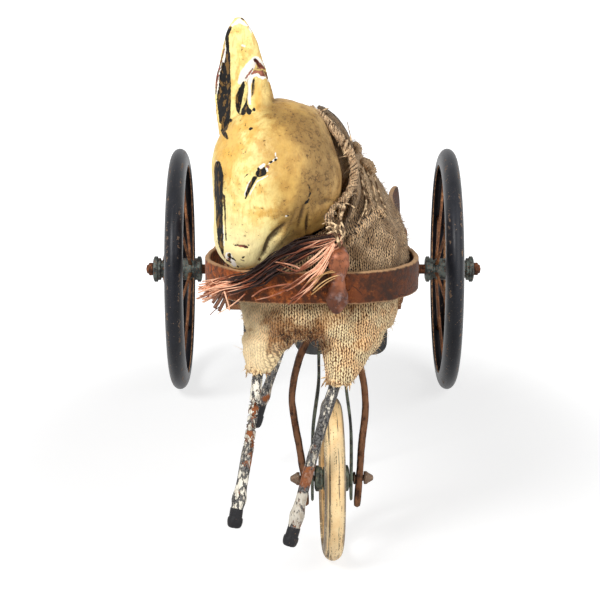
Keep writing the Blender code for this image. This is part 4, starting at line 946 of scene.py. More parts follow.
def nearLine(spots, line):
    # distance in mm from each spot to a line of straight stretches, and how far along the line that is
    best, share = np.full(len(spots), 1e9), np.zeros(len(spots))
    for k, (start, end) in enumerate(zip(line[:-1], line[1:])):
        way = end - start
        t = np.clip(((spots - start) @ way) / max(way @ way, 1e-9), 0, 1)
        gap = np.linalg.norm(spots - start - t[:, None] * way, axis=1)
        share = np.where(gap < best, (k + t) / (len(line) - 1), share)
        best = np.minimum(best, gap)
    return best, share


def strokeDepth(spots, stroke, depth):
    # how deep inside a painted stroke each spot is, in mm; a stroke is u, v and half width, point by point
    stroke = np.reshape(stroke, (-1, 3))
    gap, share = nearLine(spots, seen(stroke[:, :2], depth))
    return np.interp(share, np.linspace(0, 1, len(stroke)), stroke[:, 2]) - gap


print("goat forms ready")

# knit body: chest, barrel and sleeves in one stretched cover

knit = {"stitch": 1.8, "row": 1.65, "voxel": 1.15, "fuzz": 8200, "folds": 1.0}
sleeves = {"left": [(-18, -30.5, 6, 8, 6), (-20.2, -34.4, 0.5, 13.2, 10.4), (-23.4, -36.4, -4, 10.1, 9.2),
                    (-25.4, -38.2, -9, 7.4, 7.2), (-26.8, -39.8, -14.3, 5.4, 5.4)],
           "right": [(13.5, -30.5, 6, 10, 6), (14.3, -33.8, 0.5, 14.6, 11), (12.2, -36.2, -8, 11, 9.4),
                     (10.4, -38.4, -14.5, 8.2, 7.4), (8.6, -40.2, -20, 5.8, 5.4)]}


def knitFinish(name, values, shade=0.0):
    # stitches as pairs of slanted loops: columns run round the body, rows along it; both wander
    f = Finish(name)
    place = f.place
    for size, reach in ((14, 4.5), (2.4, 1.25)):
        drift = f.node("TexNoise", None, {"Vector": f.place, "Scale": 1000 / size, "Detail": 1}, 1)
        drift = f.node("VectorMath", {"operation": "SUBTRACT"}, {0: drift, 1: (0.5, 0.5, 0.5)})
        place = f.shifted(place, drift, reach * mm)
    x, y, z = (f.part(axis, place) - goatPlace[axis] * mm for axis in range(3))
    atBack = f.rise(y, 0.054, 0.056)
    turnFront = (x * 1000).calc("ARCTAN2", (y - 0.003) * 1000) * 40
    turnBack = (x * 1000).calc("ARCTAN2", (z - 0.031) * 1000) * 34
    column = (turnFront * (1 - atBack) + turnBack * atBack) / values["stitch"]
    row = (z * (1 - atBack) + y * atBack) * (1000 / values["row"])
    s = abs(column.calc("FRACT") - 0.5) * 2
    loop = ((row + s * 0.9).calc("FRACT") * math.pi).calc("SINE") ** 0.5
    yarn = 1 - abs(s - 0.5) * 1.7
    hair, lump = f.noise(0.6, 4, 0.7), f.noise(1.7, 3, 0.6)
    height = loop * yarn * 0.75 + hair * 0.42 + lump * 0.6
    # low is the part under the band, which is paler
    low = f.rise(z, 0.034, 0.004)
    tint = f.rise(f.noise(8, 3), 0.4, 0.62)
    above, under = ((232, 196, 152), (182, 146, 106)), ((255, 232, 182), (255, 210, 154))
    pale = f.mix(low, f.mix(tint, *above), f.mix(tint, *under))
    f.colour = f.mix(f.rise(height, 0.68, 0.9), f.mix(low, (22, 13, 7), (96, 56, 26)), pale)
    f.over(f.rise(hair, 0.6, 0.75) * 0.5, f.mix(low, (228, 200, 162), (255, 246, 220)))
    f.over(f.rise(f.noise(12, 5, 0.6), 0.5, 0.66) * 0.35, f.mix(low, (100, 72, 46), (188, 136, 80)))
    # painted light: the knit paler towards its top
    f.over(f.rise(z, 0.05, 0.075) * 0.45, (240, 206, 164))
    # painted light: the lower knit paler on its left side
    f.over(low * f.rise(x, -0.012, -0.03) * 0.7, (255, 230, 182))
    stain = f.rise(f.attribute("stain") + (f.noise(4, 5, 0.65) - 0.5) * 2.5, -0.1, 1.1)
    f.over(stain * 0.85, f.mix(f.rise(height, 0.6, 0.9), (72, 40, 17), (152, 100, 52)))
    # painted shade: the whole knit darkened by shade
    if shade:
        f.over(shade, (58, 42, 30))
    return f.wear(roughness=0.95, specular=0.1, sheen=0.15, sheenRoughness=0.6, normal=f.bump(height, 0.42))


def knitBody(values):
    # the knit is hollowed out to clear the head at rest, half nodded and nodded
    rooms = [headGrid(1.03, fullNod * share) for share in (0, 0.5, 1)]
    covered = [levelGrid(sleeves[side], 40, 56) for side in ("left", "right")]
    points, normals, faces = unite([chestGrid(), barrelGrid(), *covered], values["voxel"], rooms)
    local = points / mm - goatPlace
    free = np.clip((np.linalg.norm(local - headCentre, axis=1) - 34) / 8, 0, 1)
    sag = waves(points, 19, 4) * 0.55 + waves(points, 9, 9) * 0.42 + waves(points, 4.5, 12) * 0.3
    # creases that run up from the crotch and across the chest: width, depth and course
    folds = ((2.2, 1.2, 296, 332, 280, 312, 262, 300), (2.2, 1.2, 306, 332, 322, 316, 340, 306),
             (2.5, 0.8, 300, 330, 300, 308), (2.2, -0.8, 254, 330, 258, 352), (2.4, -1.0, 372, 330, 352, 362),
             (2.2, 0.8, 330, 330, 333, 362), (2.4, 1.0, 352, 250, 380, 242, 400, 240),
             (2.4, 1.0, 362, 190, 384, 214, 398, 240), (2.0, -1.0, 372, 200, 388, 220, 402, 250),
             (2.2, -1.2, 350, 150, 362, 176), (2.2, -1.0, 350, 236, 372, 230, 392, 226))
    spots = onPlane(points)
    for wide, deep, *course in folds:
        gap, share = nearLine(spots, seen(np.reshape(course, (-1, 2)), viewDepth["body"]))
        ends = np.sin(np.clip(share, 0.05, 0.95) * math.pi)
        sag = sag - deep * np.exp(-(gap / wide) ** 2) * ends * (normals[:, 1] < 0.2)
    under = np.clip(1 - np.abs(spots[:, 1] - 93) / 9, 0, 1) * (np.abs(local[:, 1]) < 60)
    sag = sag * (1 - 0.5 * under)
    points = points + normals * (sag * free * values["folds"] * mm)[:, None]
    stains = [(268, 318, 3, 280, 330, 6, 292, 338, 7, 308, 336, 6, 318, 326, 3), (314, 330, 4, 324, 348, 3),
              (276, 334, 3, 270, 350, 2), (336, 306, 2, 352, 306, 2)]
    stain = np.max([strokeDepth(spots, stroke, viewDepth["body"]) for stroke in stains], axis=0)
    stain = np.clip(stain / 3 + 0.5, -1, 1) * (normals[:, 1] < 0.3)
    cover = knitFinish("knitCover", values)
    body = makePiece("knitBody", points, faces, cover, fields={"stain": stain}, merge=False)
    put(body, "frame", "knit", "torso", "left_sleeve", "right_sleeve")
    fuzz(points, normals, values["fuzz"])
    front = (normals @ toCamera > 0.1) & (points[:, 1] < -0.125)
    return spots[front], points[front, 1] / mm


def fuzz(points, normals, count):
    # short hairs that stand off the knit
    random = np.random.default_rng(21)
    chosen = random.choice(len(points), count, replace=False)
    root, out = points[chosen], normals[chosen]
    way = unit(out * 0.6 + random.normal(0, 0.6, (count, 3)))
    curl = random.normal(0, 0.5, (count, 3))
    long = random.uniform(0.8, 2.6, (count, 1))
    t = np.linspace(0, 1, 4)[None, :, None]
    lines = root[:, None] + (way[:, None] * t + curl[:, None] * t ** 2) * (long * mm)[:, None]
    f = Finish("fuzzHair")
    f.colour = f.mix(f.rise(f.part(2), 0.15, 0.122), (176, 148, 116), (244, 216, 170))
    f.over(f.rise(f.noise(6, 3), 0.4, 0.6) * 0.6, (140, 108, 76))
    put(strandPiece("knitFuzz", lines, [[0.1, 0.09, 0.07, 0.02]], f.wear(roughness=0.9), 3), "frame", "knit")


knitFront = knitBody(knit)
print("knit body ready")

# head with a tall ear and a broken one, one skin of painted composition

headPaint = {"voxel": 0.53, "gloss": 0.38}
tallEarRows = [(-32.2, -18, 88, 12.2, 6.5), (-32.5, -19, 96.6, 13, 6.2), (-32.9, -18, 105, 13, 5.6),
               (-33.6, -16, 112.7, 11.7, 4.8), (-34.4, -14.5, 124.2, 8.9, 3.9), (-35, -13.5, 133.2, 5.8, 2.9),
               (-35.3, -13, 139.4, 1.6, 1.2)]
brokenEarRows = [(-27.5, -31, 88, 9.5, 4.5), (-27, -32.5, 97, 8.2, 4.2), (-26.8, -32.5, 104.5, 6.8, 3.4),
                 (-27, -32, 112.2, 5, 2.6), (-26.6, -31.6, 119, 2.2, 1.6)]


def headFinish(name, values):
    f = Finish(name)
    broad, middle, fine = f.noise(22, 4), f.noise(5, 5, 0.6), f.noise(1, 4, 0.65)
    x, z = f.part(0) * 1000, f.part(2) * 1000
    brush = f.noise(1.6, 4, 0.6, stretch=(1.3, 1.3, 0.22))
    even = middle * 0.6 + fine * 0.4
    # cream in front, golden on the cheek and dirty behind, both deepened towards the back by painted shade, and
    # painted shade under the jaw
    f.colour = f.mix(f.rise(middle, 0.42, 0.66), (255, 236, 158), (247, 204, 114))
    # paler cream on the muzzle: its paint, and painted light on its shaded underside
    muzzle = f.rise(z + broad * 10 + x * 0.3, 176, 158)
    f.over(muzzle, (255, 236, 172))
    # golden paint, and a darker golden along the ears' edges that is painted shade
    f.over(f.rise(f.attribute("gold") + middle * 1.2 + (brush - 0.5) * 2, 0.9, 2.2) * 0.7, (238, 180, 78))
    # the golden and dirty zones grow towards the back of the head: paint and dirt, deepened by painted shade
    across = x * 1.05 + z.calc("MINIMUM", 203) * 0.25 + broad * 9 + (middle - 0.5) * 7 + (fine - 0.5) * 5
    f.over(f.rise(across, 20, 38) * 0.95, f.mix(f.rise(middle, 0.34, 0.72), (204, 162, 84), (176, 132, 64)))
    back = f.rise(across, 40, 68)
    f.over(back * 0.85, f.mix(f.rise(even, 0.4, 0.64), (206, 174, 126), (156, 124, 84)))
    # painted shade under the jaw, towards the back
    f.over(f.rise(x * 0.9 - z * 0.5 + broad * 12, -90, -66) * 0.7, (186, 142, 78))
    # brush marks, streaks, grime and painted shade, specks and fine cracks
    f.over(f.rise(brush, 0.54, 0.64) * (1 - muzzle) * 0.35, (206, 156, 78))
    streak = f.rise(f.noise(2.4, 5, 0.65, stretch=(1.4, 1.4, 0.5)), 0.5, 0.64)
    f.over(streak * (0.14 + back * 0.5), (150, 116, 66))
    # grime, and painted shade at the head's back and along the tall ear's edge
    smearAndShade = f.rise(f.attribute("grime") + middle * 1.6 + fine * 0.8, 0.6, 3.2)
    f.over(smearAndShade * 0.65, (112, 84, 48))
    speck = f.rise(f.noise(1.2, 3, 0.55), 0.62 - smearAndShade * 0.04 - back * 0.02, 0.68)
    speck = speck * f.rise(middle + smearAndShade * 0.1, 0.5, 0.6)
    f.over(speck * 0.7, (66, 46, 28))
    crackle = f.rise(f.cracks(3.4, 260, 0.003), 0.06, 0) * f.rise(middle, 0.46, 0.56)
    f.over(crackle * (back * 0.6 + smearAndShade * 0.3 + 0.06), (70, 48, 28))
    # painted shade in the creases, then painted and broken marks, by how deep inside them the surface is
    crease = f.rise(f.attribute("crease") + (fine - 0.5) * 0.7, 0.25, 0.9)
    f.over(crease * 0.9, (66, 45, 24))
    edge = (fine - 0.5) * 1.1
    gesso = f.rise(f.attribute("gesso") + edge, -0.1, 0.15)
    f.over(gesso, (246, 240, 230))
    core = f.rise(f.attribute("core") + edge * 1.3, -0.1, 0.2)
    f.over(core, f.mix(f.rise(even, 0.42, 0.6), (62, 24, 18), (172, 108, 88)))
    black = f.rise(f.attribute("black") + edge * 0.7 + (middle - 0.5) * 0.8, -0.12, 0.12)
    worn = f.rise(f.noise(1.6, 4, 0.6, stretch=(1, 1, 0.3)), 0.53, 0.6)
    f.over(black, f.mix(worn * 0.75, (17, 16, 16), (136, 102, 54)))
    rough = values["gloss"] + core * 0.5 + gesso * 0.35 + black * 0.3 + (smearAndShade + fine + back) * 0.12
    height = middle * 0.3 + fine * 0.25 + brush * 0.55 - core * 0.6 - black * 0.12 + gesso * 0.1
    return f.wear(roughness=rough, specular=0.28, normal=f.bump(height - speck * 0.3 - crease * 0.3, 0.6))


# painted strokes: u, v and half width in mm, point by point, on the head, on the ears and on both sides
headMarks = {
    "black": (
        [(217.5, 164, 1.5, 218.5, 176, 2.2, 218.7, 190, 2.2, 219, 203, 1.9, 219, 218, 1.6, 219.5, 232, 1.4,
          220.5, 244, 1.2, 222, 252, 0.7), (224.5, 196, 0.6, 225, 206, 0.5, 225.2, 222, 0.3, 226, 240, 0.2),
         (270.8, 164.2, 0.4, 272, 163.6, 0.4), (275.6, 161.8, 0.55, 276.3, 161.4, 0.5),
         (245.4, 179.2, 0.1, 248.3, 176.3, 0.3, 250.2, 174.6, 0.1), (250, 129, 0.8, 252, 128.5, 0.6),
         (258.6, 259.4, 0.45, 259.4, 258.6, 0.5), (229, 254.3, 0.8, 230, 257, 0.5),
         (226.5, 259.4, 0.4, 230.3, 261.3, 0.4), (232, 257.5, 0.4, 235, 259.4, 0.3),
         (242.4, 256.8, 0.5, 243.6, 256.3, 0.4), (240.4, 258.9, 0.3, 244, 260, 0.25),
         (237.4, 265.6, 0.4, 238, 266.2, 0.3), (235.3, 244.9, 0.4, 236, 245.2, 0.3),
         (248.2, 244.9, 0.4, 248.9, 245.2, 0.3), (288, 216, 0.4, 289, 216.2, 0.3),
         (305.5, 205, 0.25, 307, 203, 0.5, 309, 200.5, 0.25),
         (245.6, 269, 0.2, 254.5, 267.9, 0.35, 261, 265, 0.15), (308, 186, 0.2, 311, 192, 0.4, 309, 198, 0.2),
         (220.5, 126, 0.8, 224, 133, 0.9, 226, 137, 0.5)],
        [(230.5, 29.5, 0.8, 227.6, 36, 0.8), (242, 20, 0.5, 244, 21, 0.5), (251, 29, 0.4, 253, 32, 0.4),
         (227.4, 36, 0.8, 227.2, 48, 0.9, 227, 55, 1.0),
         (227, 55, 1.3, 225.7, 69, 1.65, 226, 88, 1.95, 226.4, 110, 2.1, 226, 120, 1.9, 225, 130, 1.5),
         (221.8, 64, 0.6, 220.6, 88, 0.85, 219.2, 100, 1.2, 220.4, 112, 1.2, 221.6, 122, 1.0),
         (231, 121, 0.7, 232, 123, 0.6),
         (243.6, 83.5, 0.5, 243, 90, 1.9, 241.6, 98, 2.4, 241.4, 104, 2.6, 242.2, 111, 2.5, 243.4, 115, 1.6),
         (247.6, 110, 0.7, 250, 115.5, 1.2), (254.6, 113.2, 0.7, 255.4, 114, 0.6),
         (255, 84, 0.45, 253.4, 92, 0.4, 252.9, 101, 0.25)],
        [(245.8, 199.6, 0.35, 248, 193.2, 0.65, 251.5, 185.6, 0.75, 255, 179.5, 0.85),
         (259.6, 175.4, 1.5, 263.4, 174.2, 1.55), (259, 170.5, 0.5, 259.6, 172, 0.7),
         (264.4, 170, 0.4, 264.6, 172, 0.6)]),
    "core": (
        [(237, 245.2, 0.5, 242, 245.8, 0.5, 247, 247, 0.6), (228.5, 258, 0.5, 230, 259.5, 0.4),
         (219.2, 247.5, 0.35, 222, 253, 0.5, 224.4, 257.3, 0.3), (267.6, 167.6, 0.4, 269, 169.4, 0.4)],
        [(222.6, 50, 0.45, 220.8, 55.4, 0.5, 218.7, 66.3, 0.5, 217.9, 77, 0.5, 217.2, 84, 0.35, 216, 94, 0.3),
         (256, 61, 0.8, 260, 64.5, 0.9, 263.5, 68.5, 1.2), (261, 73, 2.1, 264.5, 77, 2.0),
         (256.8, 76.5, 0.9, 253, 79, 0.4), (253.2, 70.2, 0.45, 246.4, 79.2, 0.45)]),
    "gesso": (
        [(228, 255, 1.5, 234, 264, 1.0), (261, 169.2, 0.8, 264.6, 166.8, 0.6),
         (267, 171, 0.6, 267.6, 173, 0.5), (269, 166, 0.25, 277, 160, 0.45),
         (276, 157.5, 0.4, 276, 155.5, 0.4), (216, 160, 0.4, 217, 163, 0.3),
         (219.8, 238, 0.3, 222.5, 252, 0.4), (222.9, 225, 0.25, 223.8, 245, 0.3),
         (244, 271, 0.25, 254, 270, 0.35, 262, 266.5, 0.25), (285.5, 216.4, 0.4, 287, 216.6, 0.3)],
        [(226, 42, 0.4, 223.6, 55, 0.6, 220.5, 69, 0.6, 218.7, 82, 0.5, 217.8, 94, 0.5),
         (233, 27, 0.6, 240, 22.5, 1.0, 247, 27, 0.5), (250, 29, 0.5, 251.5, 34, 0.3),
         (256.2, 60, 1.3, 251, 67.5, 2.1, 245, 75, 2.2, 240, 83, 1.1), (250, 77, 2.0, 250.2, 83, 1.7),
         (250.2, 83, 1.7, 250.1, 92, 0.75, 249.9, 102, 1.0, 251, 108, 0.6),
         (258.5, 59.8, 1.0, 264.5, 66.5, 1.1), (253, 80.8, 1.0, 258, 80, 0.7, 263, 82.6, 0.8, 271, 79.6, 0.7),
         (243, 47, 0.6, 245, 48, 0.5)],
        [(268, 177.5, 0.25, 262, 180.6, 0.35, 257.4, 183, 0.35, 250, 196, 0.25),
         (245.2, 197, 0.3, 247.4, 189.5, 0.35, 251, 182, 0.3)]),
    # golden paint; on the ears' edges it is painted shade
    "gold": (
        [(228, 128, 8, 228, 150, 9, 224, 170, 7), (247, 118, 6, 253, 132, 6, 250, 145, 4),
         (263.5, 234.5, 2, 262, 241, 2, 260.3, 248, 1.5), (285, 208, 4, 262, 215, 4)],
        [(257, 92, 5, 259, 110, 5), (240, 45, 3, 238, 80, 3), (264, 66, 3, 272, 86, 4),
         (251, 32, 2.5, 262, 58, 2.5)]),
    # grime, and painted shade: at the head's back and along the tall ear's right edge
    "grime": (
        [(320, 170, 9, 310, 200, 8, 290, 225, 6), (300, 125, 9, 320, 150, 9), (272, 108, 6, 285, 120, 6),
         (283, 200, 2, 276, 230, 2, 266, 252, 1.5), (224, 252, 1.5, 250, 272, 1.5, 272, 256, 1.5),
         (223.5, 170, 1, 224.5, 205, 1)],
        [(250, 25, 1.2, 258, 37, 1.5, 264, 53, 1.6, 270, 72, 1.5), (226, 40, 1.5, 222, 60, 1.5, 219, 90, 1.5)])}
# carving, as width, depth, darkness, plane and course: mouth, lips, the fold behind the jaw, eye slit and
# brow on both sides, then cheek, blaze and the hollows of the ears on the near side
# each carving's darkness is painted shade laid along its groove
carvedBoth = (
    (1.0, 1.5, 1.2, "head", 259, 259, 263.5, 252.4, 266, 245.4, 269.2, 238.4, 274, 233, 281, 227, 287, 222),
    (0.7, 0.5, 0.8, "head", 269, 243, 272.6, 237.6, 277.5, 233, 283, 229),
    (1.4, -1.5, 0, "head", 264, 258.5, 268.6, 252.4, 275, 243.5, 282.6, 233.8, 288, 228),
    (0.7, 0.8, 0.9, "head", 269.5, 255.5, 263, 264, 255, 268, 246, 269.4),
    (1.2, 0.7, 0.6, "head", 273, 255, 280, 246.5, 287, 236, 292, 228),
    (0.7, 0.9, 1.0, "head", 308, 212, 306.8, 222, 306.2, 236),
    (1.3, -0.6, 0, "head", 312, 208, 310.6, 220, 309.6, 234),
    (1.0, 0.8, 0.8, "head", 309, 199, 303, 209, 300, 221, 296, 233),
    (1.0, 0.5, 0.5, "head", 299, 203, 294, 216, 289, 226), (4, 0.5, 0, "head", 302, 200, 297, 220, 290, 236),
    (1.0, 1.1, 0, "head", 245.8, 200, 254, 182, 264, 173),
    (2.6, -1.0, 0, "head", 238, 200, 245, 182, 256, 166, 276, 155),
    (3.5, -0.8, 0, "head", 256, 203, 264, 189, 282, 178))
carvedNear = (
    (6, -0.8, 0, "head", 232, 205, 238, 225, 240, 240), (4, 0.6, 0, "head", 228, 135, 232, 160, 234, 185),
    (4, 0.5, 0.3, "head", 320, 222, 308, 232, 300, 238),
    (1.6, 0.8, 0.7, "head", 316, 206, 326, 201, 338, 200),
    (1.6, 0.5, 0.4, "head", 231, 242, 240, 246, 250, 245), (2.8, 2.2, 0, "ear", 226, 50, 226, 90, 226, 122),
    (2.6, 2.6, 0, "ear", 243.5, 84, 241.5, 113), (1.6, -0.6, 0, "ear", 219, 60, 217, 100),
    (2.4, 1.6, 0, "ear", 257, 63, 263, 76), (0.9, 0.8, 0.9, "ear", 255.2, 84, 253, 102),
    (3.0, 0.7, 0.4, "ear", 265, 84, 268, 104))


def headPiece(values):
    mouthWay = headCentre - unit((-0.45, -0.75, 0.48)) * 34
    ears = [levelGrid(tallEarRows, 90, 64), levelGrid(brokenEarRows, 50, 48)]
    mouth = rodGrid(headCentre, mouthWay, 8.6, 15)
    points, normals, faces = unite([headGrid(), *ears], values["voxel"], [mouth])
    spots = onPlane(points)
    ahead = normals @ toCamera > -0.15
    # the side away from the camera takes eye, mouth and jaw as in a mirror
    beyond = (points / mm - goatPlace - headCentre) @ headDeep
    farSpots = onPlane(points - 2 * beyond[:, None] * headDeep * mm)
    farNormals = normals - 2 * (normals @ headDeep)[:, None] * headDeep
    farSide = (farNormals @ toCamera > 0) & (beyond < 0) & (points[:, 2] / mm < goatPlace[2] + 92)

    def marks(strokes, earStrokes=(), both=()):
        # mm inside the nearest stroke; strokes in both are painted on the far side too
        inside = [strokeDepth(spots, stroke, viewDepth["head"]) for stroke in (*strokes, *both)]
        inside += [strokeDepth(spots, stroke, viewDepth["ear"]) for stroke in earStrokes]
        result = np.where(ahead, np.clip(np.max(inside, axis=0), -6, 6), -6)
        if both:
            mirrored = np.max([strokeDepth(farSpots, stroke, viewDepth["head"]) for stroke in both], axis=0)
            result = np.maximum(result, np.where(farSide, np.clip(mirrored, -6, 6), -6))
        return result

    fields = {key: marks(*strokes) for key, strokes in headMarks.items()}
    rise, crease = np.zeros(len(points)), np.zeros(len(points))
    for places, mask, cuts in ((spots, ahead, carvedBoth + carvedNear), (farSpots, farSide, carvedBoth)):
        for wide, deep, dark, plane, *course in cuts:
            gap, share = nearLine(places, seen(np.reshape(course, (-1, 2)), viewDepth[plane]))
            ends = np.sin(np.clip(share, 0.04, 0.96) * math.pi) ** 0.5 * mask
            rise -= deep * np.exp(-(gap / wide) ** 2) * ends
            crease = np.maximum(crease, dark * np.exp(-(gap / wide) ** 2) * ends)
    rise += waves(points, 16, 31) * 0.3 + waves(points, 5, 33) * 0.12 + waves(points, 2.4, 35) * 0.05
    points = points + normals * (rise * mm)[:, None]
    fields.update(crease=crease, gold=fields["gold"] / 3, grime=fields["grime"] / 3)
    paint = headFinish("headYellow", values)
    head = makePiece("goatHead", points, faces, paint, fields=fields, merge=False)
    put(head, "head", "head_paint", "head", "tall_ear", "broken_ear")


headPiece(headPaint)
print("head ready")

# collar of the knit: a band round the neck, its frayed roll, the folded flap and loose threads


def placeSeen(u, v, y):
    # the place in mm that lies at picture place u, v and at depth y
    u, v, y = (np.asarray(value, float) for value in (u, v, y))
    eyeX, eyeY, eyeZ = camera["place"]
    slope, away = (pictureMiddle - v) / pictureScale, y - eyeY
    drop = away * (tiltSine - tiltCosine * slope) / (tiltCosine + tiltSine * slope)
    depth = tiltCosine * away + tiltSine * drop
    return np.stack(((u - pictureMiddle) * depth / pictureScale + eyeX, y + u * 0, eyeZ - drop), -1)


collar = {"thick": 1.5, "wide": 11.5, "clear": 0.9, "rollLoops": 74, "threads": 46}
collarLine = [(-0.4, -14, 99.9), (7.9, -18, 93.4), (13, -21, 84.5), (15.6, -24, 71.6), (13.6, -29, 60.6),
              (10, -36, 52), (6.2, -44, 46.2)]


def onBody(pixels, stand):
    # places in mm on the knit's front, seen at picture places, that stand a little off it
    pixels = np.asarray(pixels, float)
    spots, depths = knitFront
    flat = seen(pixels, viewDepth["front"])
    nearest = [np.argmin(((spots - spot) ** 2).sum(1)) for spot in flat.reshape(-1, 2)]
    y = depths[nearest].reshape(flat.shape[:-1])
    return placeSeen(pixels[..., 0], pixels[..., 1], y - np.asarray(stand, float))


def yarnFinish(name, dark, light):
    f = Finish(name)
    f.colour = f.mix(f.rise(f.noise(2.5, 4), 0.4, 0.62), dark, light)
    return f.wear(roughness=0.9)


def collarBand(values):
    line = smoothLine(np.array(collarLine) + goatPlace, 90)
    away = line - goatPlace - headCentre
    line += unit(away) * values["clear"]
    # the band's knit is darkened by painted shade, for the dark gap between head and roll
    shaded = knitFinish("collarInside", knit, 0.7)
    face = lambda ahead: np.cross(ahead, (0, 1, 0))
    piece = strapPiece("collarBand", line * mm, values["thick"], values["wide"], face, shaded,
                       0.6, 0.02, 41, 3)
    put(piece, "frame", "knit", "knit_collar")


def collarEdge(values, cover, yarn):
    random, steps = np.random.default_rng(42), 700
    edge = placeSeen([312, 324, 335, 346.5, 353.5, 355.5, 354, 348.5, 340.5, 332.5, 330, 334, 338],
                     [107, 117, 130, 144, 158, 172, 185, 196, 206, 213, 221, 230, 239],
                     [-174, -178, -181, -184, -186, -188, -190, -193, -197, -202, -204, -206, -207])
    edge = smoothLine(edge, steps)
    # the roll: a few strands that wind round the edge
    t = np.linspace(0, 1, steps)
    ahead = directions(edge)
    side = unit(np.cross(ahead, (0, 1, 0)))
    up = np.cross(ahead, side)
    strands = []
    for k in range(9):
        turn = t * values["rollLoops"] * (0.7 + 0.09 * k) + k * 1.05
        radius = 1.25 + 0.7 * sway(random, steps, 21) + 0.35 * np.sin(t * 40 + k)
        aside, above = np.cos(turn) * radius - 0.6, np.sin(turn) * radius
        strands.append(edge + side * aside[:, None] + up * above[:, None])
    frameStrands("collarRoll", "knit", strands, 0.46, cover)
    # loose threads along the edge, none close to its lower end
    count = values["threads"]
    at = random.choice(steps - 40, count)
    way = side[at] * -0.3 + ahead[at] * random.normal(0, 0.6, (count, 1)) + (0, -0.6, 0.1)
    way = unit(way + random.normal(0, 0.7, (count, 3)))
    long = random.uniform(1.5, 5, (count, 1, 1))
    s = np.linspace(0, 1, 10)[None, :, None]
    curl = random.normal(0, 0.55, (count, 1, 3))
    threads = edge[at][:, None] + (way[:, None] * s + curl * s ** 2 + (0, 0, -0.35) * s ** 2) * long
    frameStrands("collarThreads", "knit", threads, [[0.34] * 7 + [0.26, 0.18, 0.08]], yarn, 5)


def collarFlap():
    # the corner folded back at the throat: a hollow sheet between the frayed edge and the rolled hem
    left = [(351, 174), (347, 190), (339, 203), (331, 212), (331, 222), (336, 233), (342, 243)]
    left = smoothLine(onBody(left, [5, 6.5, 8, 9, 8, 6, 4]), 60)
    right = [(364, 176), (368, 190), (371, 202), (370, 212), (363, 224), (354, 236), (347, 245)]
    right = smoothLine(onBody(right, [1.5, 2, 2.5, 3, 3, 3, 3]), 60)
    across = np.linspace(0, 1, 60)[None, :, None]
    sheet = left[:, None] * (1 - across) + right[:, None] * across
    hollow = np.sin(across[..., 0] * math.pi)
    pleat = np.sin(across[..., 0] * 26 + np.linspace(0, 5, 60)[:, None]) * hollow
    sheet[..., 1] += 2.4 * hollow - 0.75 * pleat
    # the flap's knit is darkened by painted shade
    flap = skin("collarFlap", sheet * mm, knitFinish("flapKnit", knit, 0.3), loopColumns=False, ends=False)
    change = flap.modifiers.new("thick", "SOLIDIFY")
    change.thickness, change.offset = 1.1 * mm, 0
    put(flap, "frame", "knit")


def collarHems(cover):
    # rolled rims on the knit's front: picture places, mm off the knit at each, and the radius
    hems = (([(342, 247), (349, 243), (357, 235), (364, 226), (372, 218), (380, 213)],
             [3, 3.6, 3.8, 3.6, 2.6, 1.4], 2.15),
            ([(362, 168), (366, 184), (370, 199), (374, 212)], [1, 1.8, 2.4, 2.4], 1.1),
            ([(374, 213), (379, 213.5), (384, 215)], [1.6, 2, 1.6], 2.0),
            ([(353, 143), (357, 147), (359, 153)], [0.6, 1.2, 0.8], 1.9),
            ([(362, 160), (370, 167), (374, 174)], [0.5, 1.0, 0.4], 2.3),
            ([(352, 176), (356, 186), (357, 196)], [2.5, 3.5, 3.5], 1.3))
    t = np.linspace(0, 1, 60)
    for k, (pixels, stand, radius) in enumerate(hems):
        thick = radius * (0.45 + 0.55 * np.sin(np.clip(t, 0.06, 0.94) * math.pi) ** 0.5)
        thick = thick * (1 + 0.14 * np.sin(t * 70 + k) + 0.08 * np.sin(t * 41))
        line = smoothLine(onBody(pixels, stand), 60)
        frameStrands("collarHem" + str(k), "knit", [line], thick[None], cover, 20)


def throatThreads(yarn):
    # long threads that hang at the throat, on the edge's side at one depth and on the knit's side close to it
    low = (
        ([348, 343, 338, 334], [188, 208, 224, 242], -205), ([345, 341, 340, 343], [206, 218, 230, 244], -205),
        ([330, 332, 335, 338], [215, 225, 233, 243], -209), ([336, 334, 337, 340], [224, 232, 240, 248], -210),
        ([326, 330, 336, 338], [228, 227, 232, 240], -210), ([341, 345, 340, 338], [222, 232, 240, 246], -209),
        ([328, 334, 340, 344], [222, 224, 230, 238], -210), ([327, 332, 336, 341], [234, 232, 236, 246], -210))
    longer = [smoothLine(placeSeen(u, v, np.full(len(u), y)), 30) for u, v, y in low]
    longer += [smoothLine(onBody(pixels, 2.6), 30) for pixels in (
        [(364, 178), (368, 192), (370, 204), (374, 212)], [(372, 184), (376, 198), (378, 208), (374, 214)],
        [(385, 204), (385, 211), (381, 217), (374, 218)], [(368, 196), (372, 206), (380, 213), (384, 214)],
        [(366, 170), (373, 186), (376, 200), (382, 212)], [(360, 172), (363, 188), (366, 202), (366, 216)],
        [(362, 182), (366, 194), (365, 208), (358, 224)], [(374, 176), (378, 190), (382, 202), (386, 210)])]
    frameStrands("throatThreads", "knit", longer, 0.42, yarn)
    stray = (([312, 318, 324, 328.5], [110, 112, 110, 108], [-176, -177, -177, -176]),
             ([314, 320, 325, 327], [108, 113, 118, 121], [-176, -177, -178, -178]),
             ([318, 325, 331, 336], [114, 116, 121, 128], [-177, -178, -179, -180]),
             ([351, 350, 348.5, 347.5], [141, 134, 128, 122], [-182, -182, -181, -181]))
    radii = np.array([[0.8], [0.9], [1.0], [0.4]]) * np.linspace(1, 0.5, 30)[None]
    stray = [smoothLine(placeSeen(*line), 30) for line in stray]
    frameStrands("strayEnds", "knit", stray, radii, yarn, 8, 0.6)


